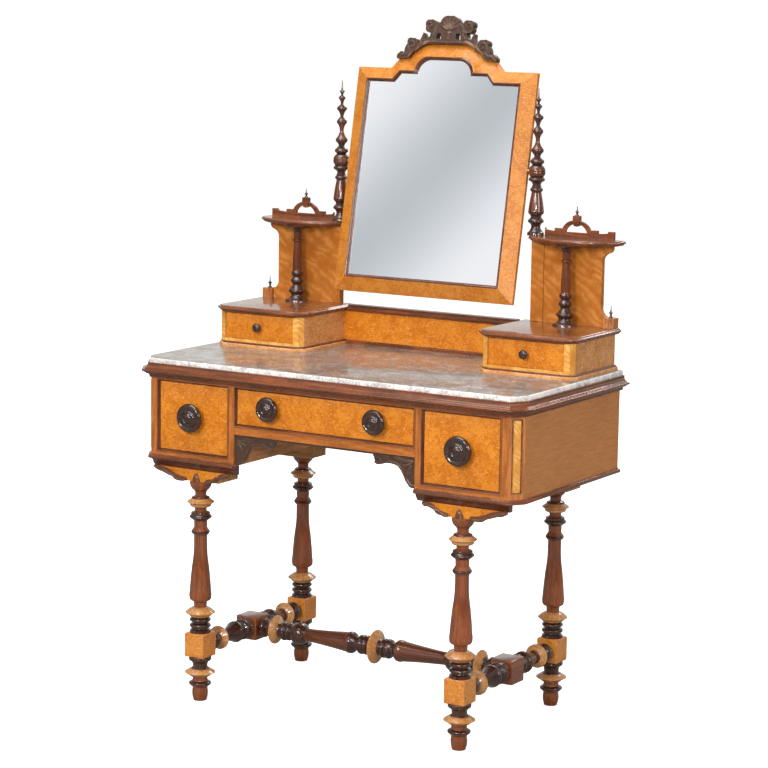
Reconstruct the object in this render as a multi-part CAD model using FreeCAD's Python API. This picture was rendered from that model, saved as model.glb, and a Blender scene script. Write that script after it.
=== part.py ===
import FreeCAD, Part
import math
import os
from FreeCAD import Vector

# Dressing table with a swinging mirror.  Millimetres, +Z up, the front faces -Y, +X is
# to the right of someone who faces the front.  The origin is on the floor, under the
# middle of the whole object.  Everything is symmetrical about the plane x = 0.

# ---- Lower case ----
CASE_HALF = 474.0            # outer face of each side panel
CASE_FRONT = -252.0
CASE_REAR = 209.0
CASE_FLOOR = 546.0           # underside of both pedestals
CASE_TOP = 727.0             # underside of the top board
CANT_X = 21.0                # canted front corners: width and depth of the cut
CANT_Y = 32.0
BOARD = 18.0                 # side panels
FRAME_THICK = 20.0           # front frame, front to back
DEEP_OPEN = (243.0, 437.0)   # frame opening of a deep drawer, across
CENTRE_OPEN = 230.0          # half width of the middle opening
DEEP_FLOOR = 560.0           # bottom of the deep openings
CENTRE_FLOOR = 635.0         # bottom of the middle opening
CENTRE_RAIL_LOW = 618.0      # underside of the rail over the kneehole
TRIM = 6.0                   # width of the moulding inside each opening
GAP = 1.0                    # running gap round a drawer front
BACK_BOARD = 8.0

# ---- Marble and cornice ----
MARBLE_LOW = 748.7
MARBLE_TOP = 768.7
MARBLE_OUT = 3.0             # how far the marble stands out past the case
MARBLE_REAR = 215.0
CORNICE_LOW = 725.0

# ---- Aprons, brackets and legs ----
APRON_LOW = 500.0
COVE_LOW = 526.0
LEG_X = 335.0
LEG_FRONT_Y = -227.0
LEG_REAR_Y = 186.0
LEG_BLOCK = 50.0
LEG_BLOCK_LOW = 101.0
LEG_BLOCK_HIGH = 156.0
STRETCH_Z = 127.5
STRETCH_BLOCK = 54.0

# ---- Upper boxes ----
BOX_IN = 233.0               # inner side of each box
BOX_OUT = 456.0              # outer side of each box
BOX_FRONT = 10.0
BOX_REAR = 215.0
BOX_LOW = 779.0
BOX_HIGH = 846.0
BOX_TOP = 860.0
BOX_CORNER = 19.0            # size of the canted corner posts

# ---- Backboards, shelves and mirror posts ----
BACK_Y = (206.0, 220.0)      # front and rear faces of the backboards
SHELF_LOW = 1039.0
SHELF_TOP = 1050.0
SHELF_REAR = 230.0
COLUMN_X = 351.0
COLUMN_Y = 176.5
ARCH_X = 354.0
POST_X = 255.0
POST_Y = 211.0

# ---- Mirror, measured in its own plane from the pivot ----
PIVOT_Z = 1190.5
TILT = 10.8                  # degrees that the top leans back at rest
MIRROR_HALF = 233.0
MIRROR_LOW = -298.0
SIGHT_HALF = 193.0
SIGHT_LOW = -259.0
FRAME_BACK = 4.5            # depths behind the pivots: back of the frame,
FRAME_EDGE = -4.5           # its thin outer edge,
FRAME_INNER = -19.5         # and its proud inner edge
GLASS_FRONT = -13.5
GLASS_BACK = -9.5
SLIP = 7.0                   # width of the dark slip round the glass
PIN_R = 4.0
PIN_CLEAR = 0.05

MIDDLE_Y = (LEG_FRONT_Y + LEG_REAR_Y) / 2


# ---- Shape helpers ----
def block(x0, x1, y0, y1, z0, z1):
    """A rectangular board between two opposite corners."""
    return Part.makeBox(x1 - x0, y1 - y0, z1 - z0, Vector(x0, y0, z0))


def face_of(points):
    return Part.Face(Part.makePolygon(points + [points[0]]))


def prism_z(outline, z0, z1):
    """An outline of (x, y) points raised from z0 to z1."""
    return face_of([Vector(x, y, z0) for x, y in outline]).extrude(Vector(0, 0, z1 - z0))


def prism_y(outline, y0, y1):
    """An outline of (x, z) points carried from y0 to y1."""
    return face_of([Vector(x, y0, z) for x, z in outline]).extrude(Vector(0, y1 - y0, 0))


def mirrored(shape):
    """The same piece on the other side of the plane x = 0."""
    return shape.mirror(Vector(0, 0, 0), Vector(1, 0, 0))


def both_sides(shape):
    return [shape, mirrored(shape)]


def fuse(shapes):
    whole = shapes[0]
    for shape in shapes[1:]:
        whole = whole.fuse(shape)
    return whole.removeSplitter()


def edges_of(steps, put):
    """Edges through steps of (a, b) or (a, b, sag), where put turns a and b into a point.
    A step with a sag is reached along an arc that bulges that far to the left."""
    edges = []
    for before, step in zip(steps, steps[1:]):
        start = put(before[0], before[1])
        end = put(step[0], step[1])
        sag = step[2] if len(step) > 2 else 0.0
        if sag == 0.0:
            edges.append(Part.LineSegment(start, end).toShape())
            continue
        run_a = step[0] - before[0]
        run_b = step[1] - before[1]
        length = math.hypot(run_a, run_b)
        middle = put((before[0] + step[0]) / 2 - run_b / length * sag,
                     (before[1] + step[1]) / 2 + run_a / length * sag)
        edges.append(Part.Arc(start, middle, end).toShape())
    return edges


def closed(steps):
    """The steps brought back to the first point, straight unless they already are."""
    if tuple(steps[-1][:2]) == tuple(steps[0][:2]):
        return steps
    return steps + [tuple(steps[0][:2])]


def cut_out(steps, y0, y1):
    """A board from y0 to y1 with an outline of (x, z) or (x, z, sag) steps."""
    wire = Part.Wire(edges_of(closed(steps), lambda x, z: Vector(x, y0, z)))
    return Part.Face(wire).extrude(Vector(0, y1 - y0, 0))


def turned(profile):
    """A turning about +Z through the origin, from (height, radius) or
    (height, radius, sag) steps, the highest first."""
    first = profile[0]
    last = profile[-1]
    edges = edges_of([(step[1], step[0]) + tuple(step[2:]) for step in profile],
                     lambda radius, height: Vector(radius, 0, height))
    top = Vector(0, 0, first[0])
    foot = Vector(0, 0, last[0])
    edges.insert(0, Part.LineSegment(top, Vector(first[1], 0, first[0])).toShape())
    edges.append(Part.LineSegment(Vector(last[1], 0, last[0]), foot).toShape())
    edges.append(Part.LineSegment(foot, top).toShape())
    return Part.Face(Part.Wire(edges)).revolve(Vector(0, 0, 0), Vector(0, 0, 1), 360)


def placed(shape, x, y, z=0.0):
    """A moved copy."""
    copy = shape.copy()
    copy.translate(Vector(x, y, z))
    return copy


def along_y(shape):
    """A turning's +Z axis laid along +Y."""
    copy = shape.copy()
    copy.rotate(Vector(0, 0, 0), Vector(1, 0, 0), -90)
    return copy


def along_x(shape):
    """A turning's +Z axis laid along +X."""
    copy = shape.copy()
    copy.rotate(Vector(0, 0, 0), Vector(0, 1, 0), 90)
    return copy


def canted_plan(half, front, rear, cut_x, cut_y, out=0.0):
    """A rectangle with its two front corners cut off, grown by out on all but the rear."""
    slant = math.hypot(cut_x, cut_y)
    # A mitre moves a corner by out along the bisector of its two faces.
    front_shift = out * (1 - cut_x / slant) * slant / cut_y
    side_shift = out * (1 - cut_y / slant) * slant / cut_x
    corner_x = half - cut_x + front_shift
    corner_y = front + cut_y - side_shift
    return [(-half - out, rear), (-half - out, corner_y), (-corner_x, front - out),
            (corner_x, front - out), (half + out, corner_y), (half + out, rear)]


def case_plan(out=0.0, rear=CASE_REAR):
    return canted_plan(CASE_HALF, CASE_FRONT, rear, CANT_X, CANT_Y, out)


def moulded(plan, layers):
    """A solid whose plan changes with height: layers are (z, out), the lowest first."""
    wires = []
    for z, out in layers:
        points = [Vector(x, y, z) for x, y in plan(out)]
        wires.append(Part.makePolygon(points + [points[0]]))
    return Part.makeLoft(wires, True, True)


def box_plan(out=0.0):
    """Plan of the right-hand upper box, canted at both front corners."""
    middle = (BOX_IN + BOX_OUT) / 2
    half = (BOX_OUT - BOX_IN) / 2
    outline = canted_plan(half, BOX_FRONT, BOX_REAR, BOX_CORNER, BOX_CORNER, out)
    return [(x + middle, y) for x, y in outline]


# ---- Lower case ----
def marble_top():
    return [moulded(lambda out: case_plan(out, MARBLE_REAR),
                    [(MARBLE_LOW, MARBLE_OUT - 1.5), (MARBLE_LOW + 2, MARBLE_OUT),
                     (MARBLE_TOP - 2.5, MARBLE_OUT), (MARBLE_TOP, MARBLE_OUT - 2.5)])]


def cornice_moulding():
    """An ogee that steps out to a sharp lip under the marble, on the front and sides."""
    layers = [(CORNICE_LOW, 3.5), (728.5, 3.5), (731.0, 6.0), (734.5, 11.5), (737.5, 14.0),
              (739.0, 19.5), (742.0, 21.0), (745.0, 14.0), (MARBLE_LOW, 8.0)]
    solid = moulded(lambda out: case_plan(out, MARBLE_REAR), layers)
    inside = prism_z(case_plan(0.0, MARBLE_REAR + 1), CORNICE_LOW - 1, MARBLE_LOW + 1)
    return [solid.cut(inside)]


def top_board():
    """The board that carries the marble and closes the drawer spaces."""
    return [prism_z(case_plan(0.0), CASE_TOP, MARBLE_LOW)]


def side_panels():
    right = block(CASE_HALF - BOARD, CASE_HALF, CASE_FRONT + CANT_Y, CASE_REAR,
                  CASE_FLOOR, CASE_TOP)
    return both_sides(right)


def kneehole_panels():
    right = block(CENTRE_OPEN + 1, DEEP_OPEN[0], CASE_FRONT + FRAME_THICK,
                  CASE_REAR - BACK_BOARD, CASE_FLOOR, CASE_TOP)
    return both_sides(right)


def case_back():
    """One thin board behind each pedestal and one behind the middle drawer."""
    right = block(CENTRE_OPEN + 1, CASE_HALF - BOARD, CASE_REAR - BACK_BOARD, CASE_REAR,
                  CASE_FLOOR, CASE_TOP)
    middle = block(-CENTRE_OPEN - 1, CENTRE_OPEN + 1, CASE_REAR - BACK_BOARD, CASE_REAR,
                   CENTRE_RAIL_LOW, CASE_TOP)
    return both_sides(right) + [middle]


def cant_corner():
    """The full corner post on the right, which the boards behind it are cut back from."""
    return prism_z([(CASE_HALF - CANT_X, CASE_FRONT), (CASE_HALF, CASE_FRONT + CANT_Y),
                    (CASE_HALF - BOARD, CASE_FRONT + CANT_Y),
                    (CASE_HALF - CANT_X, CASE_FRONT + FRAME_THICK)], CASE_FLOOR, CASE_TOP)


def bottom_boards():
    """Pedestal floors and the soffit over the kneehole."""
    right = block(DEEP_OPEN[0], CASE_HALF - BOARD, CASE_FRONT + FRAME_THICK,
                  CASE_REAR - BACK_BOARD, CASE_FLOOR, CASE_FLOOR + 12)
    right = right.cut(cant_corner())
    soffit = block(-CENTRE_OPEN - 1, CENTRE_OPEN + 1, CASE_FRONT + FRAME_THICK,
                   CASE_REAR - BACK_BOARD, CENTRE_RAIL_LOW, CENTRE_RAIL_LOW + 8)
    return both_sides(right) + [soffit]


def front_frame():
    """Two stiles beside each deep drawer, the rail below it and the kneehole rail."""
    rear = CASE_FRONT + FRAME_THICK
    outer = block(DEEP_OPEN[1], CASE_HALF - CANT_X, CASE_FRONT, rear, CASE_FLOOR, CASE_TOP)
    inner = block(CENTRE_OPEN, DEEP_OPEN[0], CASE_FRONT, rear, CASE_FLOOR, CASE_TOP)
    low = block(DEEP_OPEN[0], DEEP_OPEN[1], CASE_FRONT, rear, CASE_FLOOR, DEEP_FLOOR)
    middle = block(-CENTRE_OPEN, CENTRE_OPEN, CASE_FRONT, rear, CENTRE_RAIL_LOW, CENTRE_FLOOR)
    return both_sides(outer) + both_sides(inner) + both_sides(low) + [middle]


def trim_strip(inner_a, inner_b, outer_a, outer_b):
    """One mitred strip from its outer edge, proud of the frame, to its sunk inner edge."""
    proud = CASE_FRONT - 2.0
    sunk = CASE_FRONT + 4.0
    back = CASE_FRONT + 12.0
    middle_a = tuple((p + q) / 2 for p, q in zip(inner_a, outer_a))
    middle_b = tuple((p + q) / 2 for p, q in zip(inner_b, outer_b))
    base = [inner_a, inner_b, outer_b, outer_a]
    crown = [middle_a, middle_b, outer_b, outer_a]
    wires = []
    for outline, y in ((base, back), (base, sunk), (crown, proud)):
        points = [Vector(x, y, z) for x, z in outline]
        wires.append(Part.makePolygon(points + [points[0]]))
    return Part.makeLoft(wires, True, True)


def trim_round(x0, x1, z0, z1):
    """Four mitred strips inside one opening."""
    outer = [(x0, z0), (x1, z0), (x1, z1), (x0, z1)]
    inner = [(x0 + TRIM, z0 + TRIM), (x1 - TRIM, z0 + TRIM),
             (x1 - TRIM, z1 - TRIM), (x0 + TRIM, z1 - TRIM)]
    strips = []
    for index in range(4):
        after = (index + 1) % 4
        strips.append(trim_strip(inner[index], inner[after], outer[index], outer[after]))
    return strips


def opening_trims():
    right = trim_round(DEEP_OPEN[0], DEEP_OPEN[1], DEEP_FLOOR, CORNICE_LOW)
    middle = trim_round(-CENTRE_OPEN, CENTRE_OPEN, CENTRE_FLOOR, CORNICE_LOW)
    return right + [mirrored(strip) for strip in right] + middle


def cant_point(along, out):
    """A point on the right cant: along from its front corner, out from its face."""
    slant = math.hypot(CANT_X, CANT_Y)
    x = CASE_HALF - CANT_X + (CANT_X * along + CANT_Y * out) / slant
    y = CASE_FRONT + (CANT_Y * along - CANT_X * out) / slant
    return (x, y)


def cant_posts():
    """Corner posts with a long sunk field in the canted face."""
    slant = math.hypot(CANT_X, CANT_Y)
    field = prism_z([cant_point(7.5, -4), cant_point(slant - 7.5, -4),
                     cant_point(slant - 7.5, 2), cant_point(7.5, 2)],
                    CASE_FLOOR + 19, CORNICE_LOW - 5)
    return both_sides(cant_corner().cut(field))


def cant_panels():
    """Figured strips let into the canted posts."""
    slant = math.hypot(CANT_X, CANT_Y)
    strip = prism_z([cant_point(7.5, -4), cant_point(slant - 7.5, -4),
                     cant_point(slant - 7.5, -1.5), cant_point(7.5, -1.5)],
                    CASE_FLOOR + 19, CORNICE_LOW - 5)
    return both_sides(strip)


def base_beads():
    """A half-round bead along the bottom of the sides, the cants and the fronts."""
    low = CASE_FLOOR - 4
    high = CASE_FLOOR + 7
    outer = moulded(lambda out: case_plan(out), [(low, 2.5), (low + 2, 5.0), (low + 5, 6.5),
                                                 (high - 3, 5.5), (high, 1.5)])
    inside = prism_z(case_plan(0.0, CASE_REAR + 1), low - 1, high + 1)
    kneehole = block(-CENTRE_OPEN, CENTRE_OPEN, CASE_FRONT - 9, CASE_REAR, low - 1, high + 1)
    ring = outer.cut(inside).cut(kneehole)
    strips = []
    for solid in ring.Solids:
        # Split behind the cant, so that each strip is nearly straight.
        side = block(-600, 600, CASE_FRONT + CANT_Y, CASE_REAR + 1, low - 1, high + 1)
        strips.append(solid.common(side))
        strips.append(solid.cut(side))
    return strips


def base_coves():
    """Dark coves that step in from the pedestal front to the apron."""
    steps = [(CASE_FRONT - 2, CASE_FLOOR - 4), (CASE_FRONT + 7, COVE_LOW, -2.5),
             (CASE_FRONT + 18, COVE_LOW), (CASE_FRONT + 18, CASE_FLOOR - 4)]
    x0 = CENTRE_OPEN + 1
    x1 = CASE_HALF - CANT_X
    wire = Part.Wire(edges_of(steps + [steps[0]], lambda y, z: Vector(x0, y, z)))
    right = Part.Face(wire).extrude(Vector(x1 - x0, 0, 0))
    filler = block(x0, x1, CASE_FRONT + 2, CASE_FRONT + FRAME_THICK, CASE_FLOOR - 4, CASE_FLOOR)
    return both_sides(fuse([right, filler]))


def apron_outline(top, low, spread):
    """Cyma outline that gathers the pedestal's width down to the leg."""
    left = DEEP_OPEN[0] + 6 - spread
    right = CASE_HALF - CANT_X - 10 + spread
    return [(left, top), (right, top), (right - 30, top - 11, -2.0),
            (LEG_X + 48, low + 5, 2.0), (LEG_X + 25, low), (LEG_X - 25, low),
            (LEG_X - 46, low + 8, 2.0), (left + 12, top - 5, -1.5)]


def front_aprons():
    """Shaped burr panels over the front legs."""
    right = cut_out(apron_outline(COVE_LOW, APRON_LOW, 0.0), CASE_FRONT + 9, CASE_FRONT + 16)
    return both_sides(right)


def rear_aprons():
    """The same outline in plain wood over the rear legs."""
    outline = apron_outline(CASE_FLOOR, APRON_LOW, 6.0)
    right = cut_out(outline, LEG_REAR_Y + 12, LEG_REAR_Y + 20)
    return both_sides(right)


def apron_carvings():
    """Carved leaf edging along the lower outline of each front apron."""
    y0 = CASE_FRONT + 5
    y1 = CASE_FRONT + 9
    left = DEEP_OPEN[0] + 2
    right = CASE_HALF - CANT_X - 3
    outer = cut_out([(left, COVE_LOW), (left + 10, COVE_LOW),
                     (LEG_X - 56, APRON_LOW + 16, 3.0), (LEG_X - 27, APRON_LOW + 8, -2.0),
                     (LEG_X - 25, APRON_LOW), (LEG_X - 46, APRON_LOW + 2),
                     (LEG_X - 60, APRON_LOW + 12, 3.0), (LEG_X - 80, APRON_LOW + 16, -2.0),
                     (left, COVE_LOW - 4, 2.0)], y0, y1)
    far = cut_out([(right, COVE_LOW), (right - 10, COVE_LOW),
                   (LEG_X + 64, APRON_LOW + 16, -3.0), (LEG_X + 27, APRON_LOW + 8, 2.0),
                   (LEG_X + 25, APRON_LOW), (LEG_X + 48, APRON_LOW - 2),
                   (LEG_X + 66, APRON_LOW + 8, -3.0), (LEG_X + 92, APRON_LOW + 14, 2.0),
                   (right, COVE_LOW - 4, -2.0)], y0, y1)
    leaf = cut_out([(LEG_X - 9, APRON_LOW), (LEG_X + 9, APRON_LOW),
                    (LEG_X + 6, APRON_LOW + 12, -1.0), (LEG_X, APRON_LOW + 19, -1.0),
                    (LEG_X - 6, APRON_LOW + 12, -1.0), (LEG_X - 9, APRON_LOW, -1.0)], y0, y1)
    return both_sides(outer) + both_sides(far) + both_sides(leaf)


def leg_blocks():
    """Pale blocks under the pedestal floors that hold the tops of the legs."""
    front = block(LEG_X - 55, LEG_X + 55, CASE_FRONT + 16, CASE_FRONT + 90,
                  APRON_LOW, CASE_FLOOR)
    cove = block(CENTRE_OPEN, CASE_HALF, CASE_FRONT, CASE_FRONT + FRAME_THICK,
                 COVE_LOW, CASE_FLOOR)
    rear = block(LEG_X - 55, LEG_X + 55, LEG_REAR_Y - 52, LEG_REAR_Y + 12,
                 APRON_LOW, CASE_FLOOR)
    return both_sides(front.cut(cove)) + both_sides(rear)


def kneehole_brackets():
    """Scrolled brackets in the upper corners of the kneehole, joined by a thin strip."""
    side = CENTRE_OPEN
    top = CENTRE_RAIL_LOW
    outline = [(side, top), (side, top - 66), (side - 15, top - 63, 2.5),
               (side - 28, top - 48, 2.0), (side - 34, top - 36), (side - 48, top - 21, -2.5),
               (side - 72, top - 19.5, -2.0), (side - 88, top - 25, 0.5),
               (side - 102, top - 16, 3.0), (side - 112, top, -1.5)]
    right = cut_out(outline, CASE_FRONT + 5, CASE_FRONT + 15)
    strip = block(-side + 110, side - 110, CASE_FRONT + 5, CASE_FRONT + 15, top - 5, top)
    return both_sides(right) + [strip]


def drawer_runners():
    """Hardwood strips that the three main drawers slide on, with side guides."""
    y0 = CASE_FRONT + FRAME_THICK
    y1 = CASE_REAR - BACK_BOARD
    bed = CASE_FLOOR + 12
    top = DEEP_FLOOR + TRIM - 0.3
    inner = block(DEEP_OPEN[0], DEEP_OPEN[0] + 22, y0, y1, bed, top)
    outer = block(DEEP_OPEN[1] - 22, CASE_HALF - BOARD, y0, y1, bed, top)
    guide = block(DEEP_OPEN[1] - TRIM, CASE_HALF - BOARD, y0, y1, top, top + 14)
    low = CENTRE_RAIL_LOW + 8
    middle = block(CENTRE_OPEN - 24, CENTRE_OPEN + 1, y0, y1, low, CENTRE_FLOOR + TRIM - 0.3)
    outer = fuse([outer, guide]).cut(cant_corner())
    return both_sides(inner) + both_sides(outer) + both_sides(middle)


# ---- Drawers ----
def drawer_front(x0, x1, y0, z0, z1, thick):
    return block(x0, x1, y0, y0 + thick, z0, z1)


def drawer_box(x0, x1, y0, y1, z0, z1, wall, floor):
    """An open tray: two sides, a back, and a bottom raised in its grooves."""
    outer = block(x0, x1, y0, y1, z0, z1)
    inner = block(x0 + wall, x1 - wall, y0 - 1, y1 - wall, z0 + 4 + floor, z1 + 1)
    under = block(x0 + wall, x1 - wall, y0 - 1, y1 + 1, z0 - 1, z0 + 4)
    return outer.cut(inner).cut(under)


def big_knob(radius, x, z, front):
    """A turned knob with a wide stepped face, a button in the middle and a short stem."""
    face = radius
    stem = radius * 0.45
    profile = [(28.0, 5.0), (27.0, 7.0, 0.6), (25.5, face * 0.36), (24.0, face * 0.42),
               (24.5, face * 0.55, 0.8), (22.0, face * 0.78, 1.0), (17.0, face, 2.0),
               (13.0, face, 1.0), (9.0, face * 0.72, 1.5), (6.0, stem), (2.0, stem, -1.0),
               (0.0, stem * 1.4)]
    knob = turned(profile)
    knob.rotate(Vector(0, 0, 0), Vector(1, 0, 0), 90)
    return placed(knob, x, front, z)


DRAWER_REAR = CASE_REAR - BACK_BOARD - 16
DRAWER_FRONT_Y = CASE_FRONT + 3.0
DEEP_X0 = DEEP_OPEN[0] + TRIM + GAP
DEEP_X1 = DEEP_OPEN[1] - TRIM - GAP
DEEP_Z0 = DEEP_FLOOR + TRIM + GAP
FRONT_Z1 = CORNICE_LOW - TRIM - GAP
DEEP_KNOB_Z = 645.0
CENTRE_HALF = CENTRE_OPEN - TRIM - GAP
CENTRE_Z0 = CENTRE_FLOOR + TRIM + GAP
CENTRE_KNOB_X = 135.0
CENTRE_KNOB_Z = 684.0
FRONT_THICK = 17.0


def deep_drawer():
    """Front, box and knob of the right-hand deep drawer."""
    back = DRAWER_FRONT_Y + FRONT_THICK
    front = drawer_front(DEEP_X0, DEEP_X1, DRAWER_FRONT_Y, DEEP_Z0, FRONT_Z1, FRONT_THICK)
    tray = drawer_box(DEEP_X0 + 0.5, DEEP_X1 - 0.5, back, DRAWER_REAR,
                      DEEP_FLOOR + TRIM, FRONT_Z1 - 8, 9.0, 6.0)
    knob = big_knob(32.0, (DEEP_X0 + DEEP_X1) / 2, DEEP_KNOB_Z, DRAWER_FRONT_Y)
    return front, tray, knob


def centre_drawer():
    back = DRAWER_FRONT_Y + FRONT_THICK
    front = drawer_front(-CENTRE_HALF, CENTRE_HALF, DRAWER_FRONT_Y, CENTRE_Z0, FRONT_Z1,
                         FRONT_THICK)
    tray = drawer_box(-CENTRE_HALF + 0.5, CENTRE_HALF - 0.5, back, DRAWER_REAR,
                      CENTRE_FLOOR + TRIM, FRONT_Z1 - 8, 9.0, 6.0)
    knob = big_knob(27.0, CENTRE_KNOB_X, CENTRE_KNOB_Z, DRAWER_FRONT_Y)
    return front, tray, knob


SMALL_X0 = BOX_IN + BOX_CORNER + 1.0
SMALL_X1 = BOX_OUT - BOX_CORNER - 1.0
SMALL_Z0 = BOX_LOW + 7.0
SMALL_Z1 = BOX_HIGH - 1.5
SMALL_KNOB_Z = 816.0


def small_drawer():
    """Front, box and knob of the right-hand drawer on top of the marble."""
    y0 = BOX_FRONT + 1.0
    front = drawer_front(SMALL_X0, SMALL_X1, y0, SMALL_Z0 + 0.5, SMALL_Z1, 11.0)
    tray = drawer_box(SMALL_X0 + 1, SMALL_X1 - 1, y0 + 11.0, BOX_REAR - 22,
                      SMALL_Z0 + 0.3, SMALL_Z1 - 6, 7.0, 4.0)
    knob = turned([(17.0, 3.0), (15.5, 7.0, 0.8), (12.0, 10.0, 1.2), (8.0, 8.0, 1.2),
                   (5.0, 4.5), (1.5, 4.5), (0.0, 6.5)])
    knob.rotate(Vector(0, 0, 0), Vector(1, 0, 0), 90)
    return front, tray, placed(knob, (SMALL_X0 + SMALL_X1) / 2, y0, SMALL_KNOB_Z)


# ---- Legs and stretchers ----
LEG_PARTS = {
    "cup": [(500.0, 24.5), (497.0, 24.5), (479.0, 15.0, 2.5), (474.0, 12.5), (467.0, 12.5),
            (465.0, 18.0), (461.0, 20.0, 1.0)],
    "vase": [(442.0, 13.5), (433.0, 13.0), (430.0, 19.5), (427.0, 21.0, 1.0), (424.5, 21.0),
             (420.7, 24.7), (417.5, 24.0, 0.6), (412.0, 17.0), (409.0, 15.0, -0.8),
             (396.0, 14.5), (388.5, 19.5), (385.3, 21.0), (382.0, 19.5), (377.5, 15.0),
             (340.0, 15.5, -0.3), (307.0, 19.2, -0.4), (250.0, 24.2, 0.4),
             (236.5, 24.7, 0.6), (229.0, 20.0, 1.4), (225.0, 15.0, -0.8), (214.0, 14.0)],
    "stack": [(191.0, 16.0), (188.5, 21.5), (185.0, 23.5, 0.8), (181.5, 21.5, 0.8),
              (179.5, 17.0), (177.5, 17.0), (175.5, 22.0), (171.5, 23.5, 0.8),
              (168.0, 21.5, 0.8), (165.5, 18.0), (162.0, 23.0, -0.8), (156.0, 24.0)],
    "neck": [(101.0, 24.0), (97.0, 25.0, 0.8), (92.0, 24.0, 0.8), (84.0, 16.8, -1.2),
             (77.0, 16.5), (73.0, 21.0)],
    "foot": [(55.0, 17.5), (50.0, 16.5), (45.0, 18.0), (42.0, 24.0), (39.3, 25.0, 0.4),
             (36.5, 24.0, 0.4), (31.0, 17.5), (27.0, 16.8), (16.0, 17.8, 0.6),
             (5.0, 15.8, 0.4), (0.0, 14.6)],
}
LEG_RINGS = [
    [(461.0, 20.0), (458.5, 23.5), (454.0, 30.0), (452.6, 30.0), (448.5, 24.5),
     (446.5, 24.0), (442.0, 20.0, 0.8)],
    [(214.0, 17.0), (210.0, 24.5), (203.0, 33.0), (201.2, 33.0), (195.5, 25.0),
     (191.0, 19.0, 0.8)],
    [(73.0, 22.0), (70.5, 26.5), (65.5, 34.0), (63.8, 34.0), (58.5, 25.0),
     (55.0, 19.0, 0.8)],
]


def leg_turnings(x, y):
    return [placed(turned(profile), x, y) for profile in LEG_PARTS.values()]


def leg_places():
    return [(side * LEG_X, y) for y in (LEG_FRONT_Y, LEG_REAR_Y) for side in (-1, 1)]


def leg_rings():
    """Three bevelled maple rings on each leg."""
    rings = [turned(profile) for profile in LEG_RINGS]
    return [placed(ring, x, y) for x, y in leg_places() for ring in rings]


def square_block(size, low, high, x, y):
    """A square block with small chamfers round its top and bottom."""
    half = size / 2
    edge = 2.0
    wires = []
    for z, side in ((low, half - edge), (low + edge, half), (high - edge, half),
                    (high, half - edge)):
        points = [Vector(x - side, y - side, z), Vector(x + side, y - side, z),
                  Vector(x + side, y + side, z), Vector(x - side, y + side, z)]
        wires.append(Part.makePolygon(points + [points[0]]))
    return Part.makeLoft(wires, True, True)


def leg_square_blocks():
    return [square_block(LEG_BLOCK, LEG_BLOCK_LOW, LEG_BLOCK_HIGH, x, y)
            for x, y in leg_places()]


SIDE_HALF = (LEG_REAR_Y - LEG_FRONT_Y - LEG_BLOCK) / 2
SIDE_BALUSTER = [(124.0, 15.0), (121.5, 12.0), (118.0, 11.5), (76.0, 23.0, -1.5),
                 (71.0, 24.5, 0.6), (64.0, 22.0, 0.8), (59.0, 15.5), (55.0, 15.5),
                 (51.0, 20.0), (45.0, 24.0, 1.0), (38.0, 21.5, 1.0), (34.0, 16.5),
                 (31.0, 16.5), (27.0, 21.0)]
SIDE_BUTTON = [(SIDE_HALF, 15.0), (177.5, 14.0), (174.0, 18.5), (165.0, 21.5, 1.2),
               (154.0, 19.5, 1.0), (149.0, 13.5), (144.0, 15.0)]
SIDE_DISC_PROFILE = [(144.0, 15.0), (141.5, 19.0), (135.0, 26.8), (133.0, 26.8),
                     (126.5, 19.0), (124.0, 15.0)]
CROSS_HALF = LEG_X - STRETCH_BLOCK / 2
CROSS_SHAFT = [(258.0, 17.0), (254.0, 15.0), (250.0, 15.0), (247.0, 20.0),
               (242.0, 21.5, 0.8), (237.0, 18.0, 0.8), (234.0, 19.0), (229.0, 20.0, 0.6),
               (225.0, 15.5), (221.0, 16.0), (216.0, 22.0), (203.0, 25.0, 1.2),
               (190.0, 21.0, 1.2), (184.0, 14.5), (178.0, 14.5), (72.0, 23.0, -0.8),
               (64.0, 24.5, 0.8), (57.0, 22.0, 0.8), (51.0, 15.5), (45.0, 15.0),
               (41.0, 19.5), (36.0, 22.0, 0.8), (30.5, 21.0, 0.6), (28.0, 19.0),
               (24.0, 22.0, 0.6), (19.0, 20.0, 0.6), (15.0, 16.5), (11.0, 19.0)]
CROSS_END = [(CROSS_HALF, 17.0), (304.0, 21.0), (299.0, 22.0, 0.8), (294.0, 20.0, 0.8),
             (290.0, 14.0), (285.0, 14.0), (280.0, 19.0)]
CROSS_DISC = [(280.0, 18.0), (277.0, 23.0), (270.0, 32.7), (268.0, 32.7), (261.0, 23.0),
              (258.0, 18.0)]
MIDDLE_DISC = [(11.0, 20.0), (9.0, 26.0), (1.2, 38.0), (-1.2, 38.0), (-9.0, 26.0),
               (-11.0, 20.0)]


def end_for_end(profile):
    """The same turning with its other end up."""
    flipped = []
    sag = 0.0
    for step in reversed(profile):
        flipped.append((-step[0], step[1], sag))
        sag = step[2] if len(step) > 2 else 0.0
    return flipped


def side_stretcher(side):
    """Turned walnut parts of one side stretcher and its middle block."""
    pieces = []
    for profile in (SIDE_BALUSTER, SIDE_BUTTON):
        for shape in (profile, end_for_end(profile)):
            pieces.append(placed(along_y(turned(shape)), side * LEG_X, MIDDLE_Y, STRETCH_Z))
    half = STRETCH_BLOCK / 2
    pieces.append(square_block(STRETCH_BLOCK, STRETCH_Z - half, STRETCH_Z + half,
                               side * LEG_X, MIDDLE_Y))
    return pieces


def cross_stretcher():
    pieces = []
    for profile in (CROSS_SHAFT, CROSS_END):
        for shape in (profile, end_for_end(profile)):
            pieces.append(placed(along_x(turned(shape)), 0, MIDDLE_Y, STRETCH_Z))
    return pieces


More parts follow.
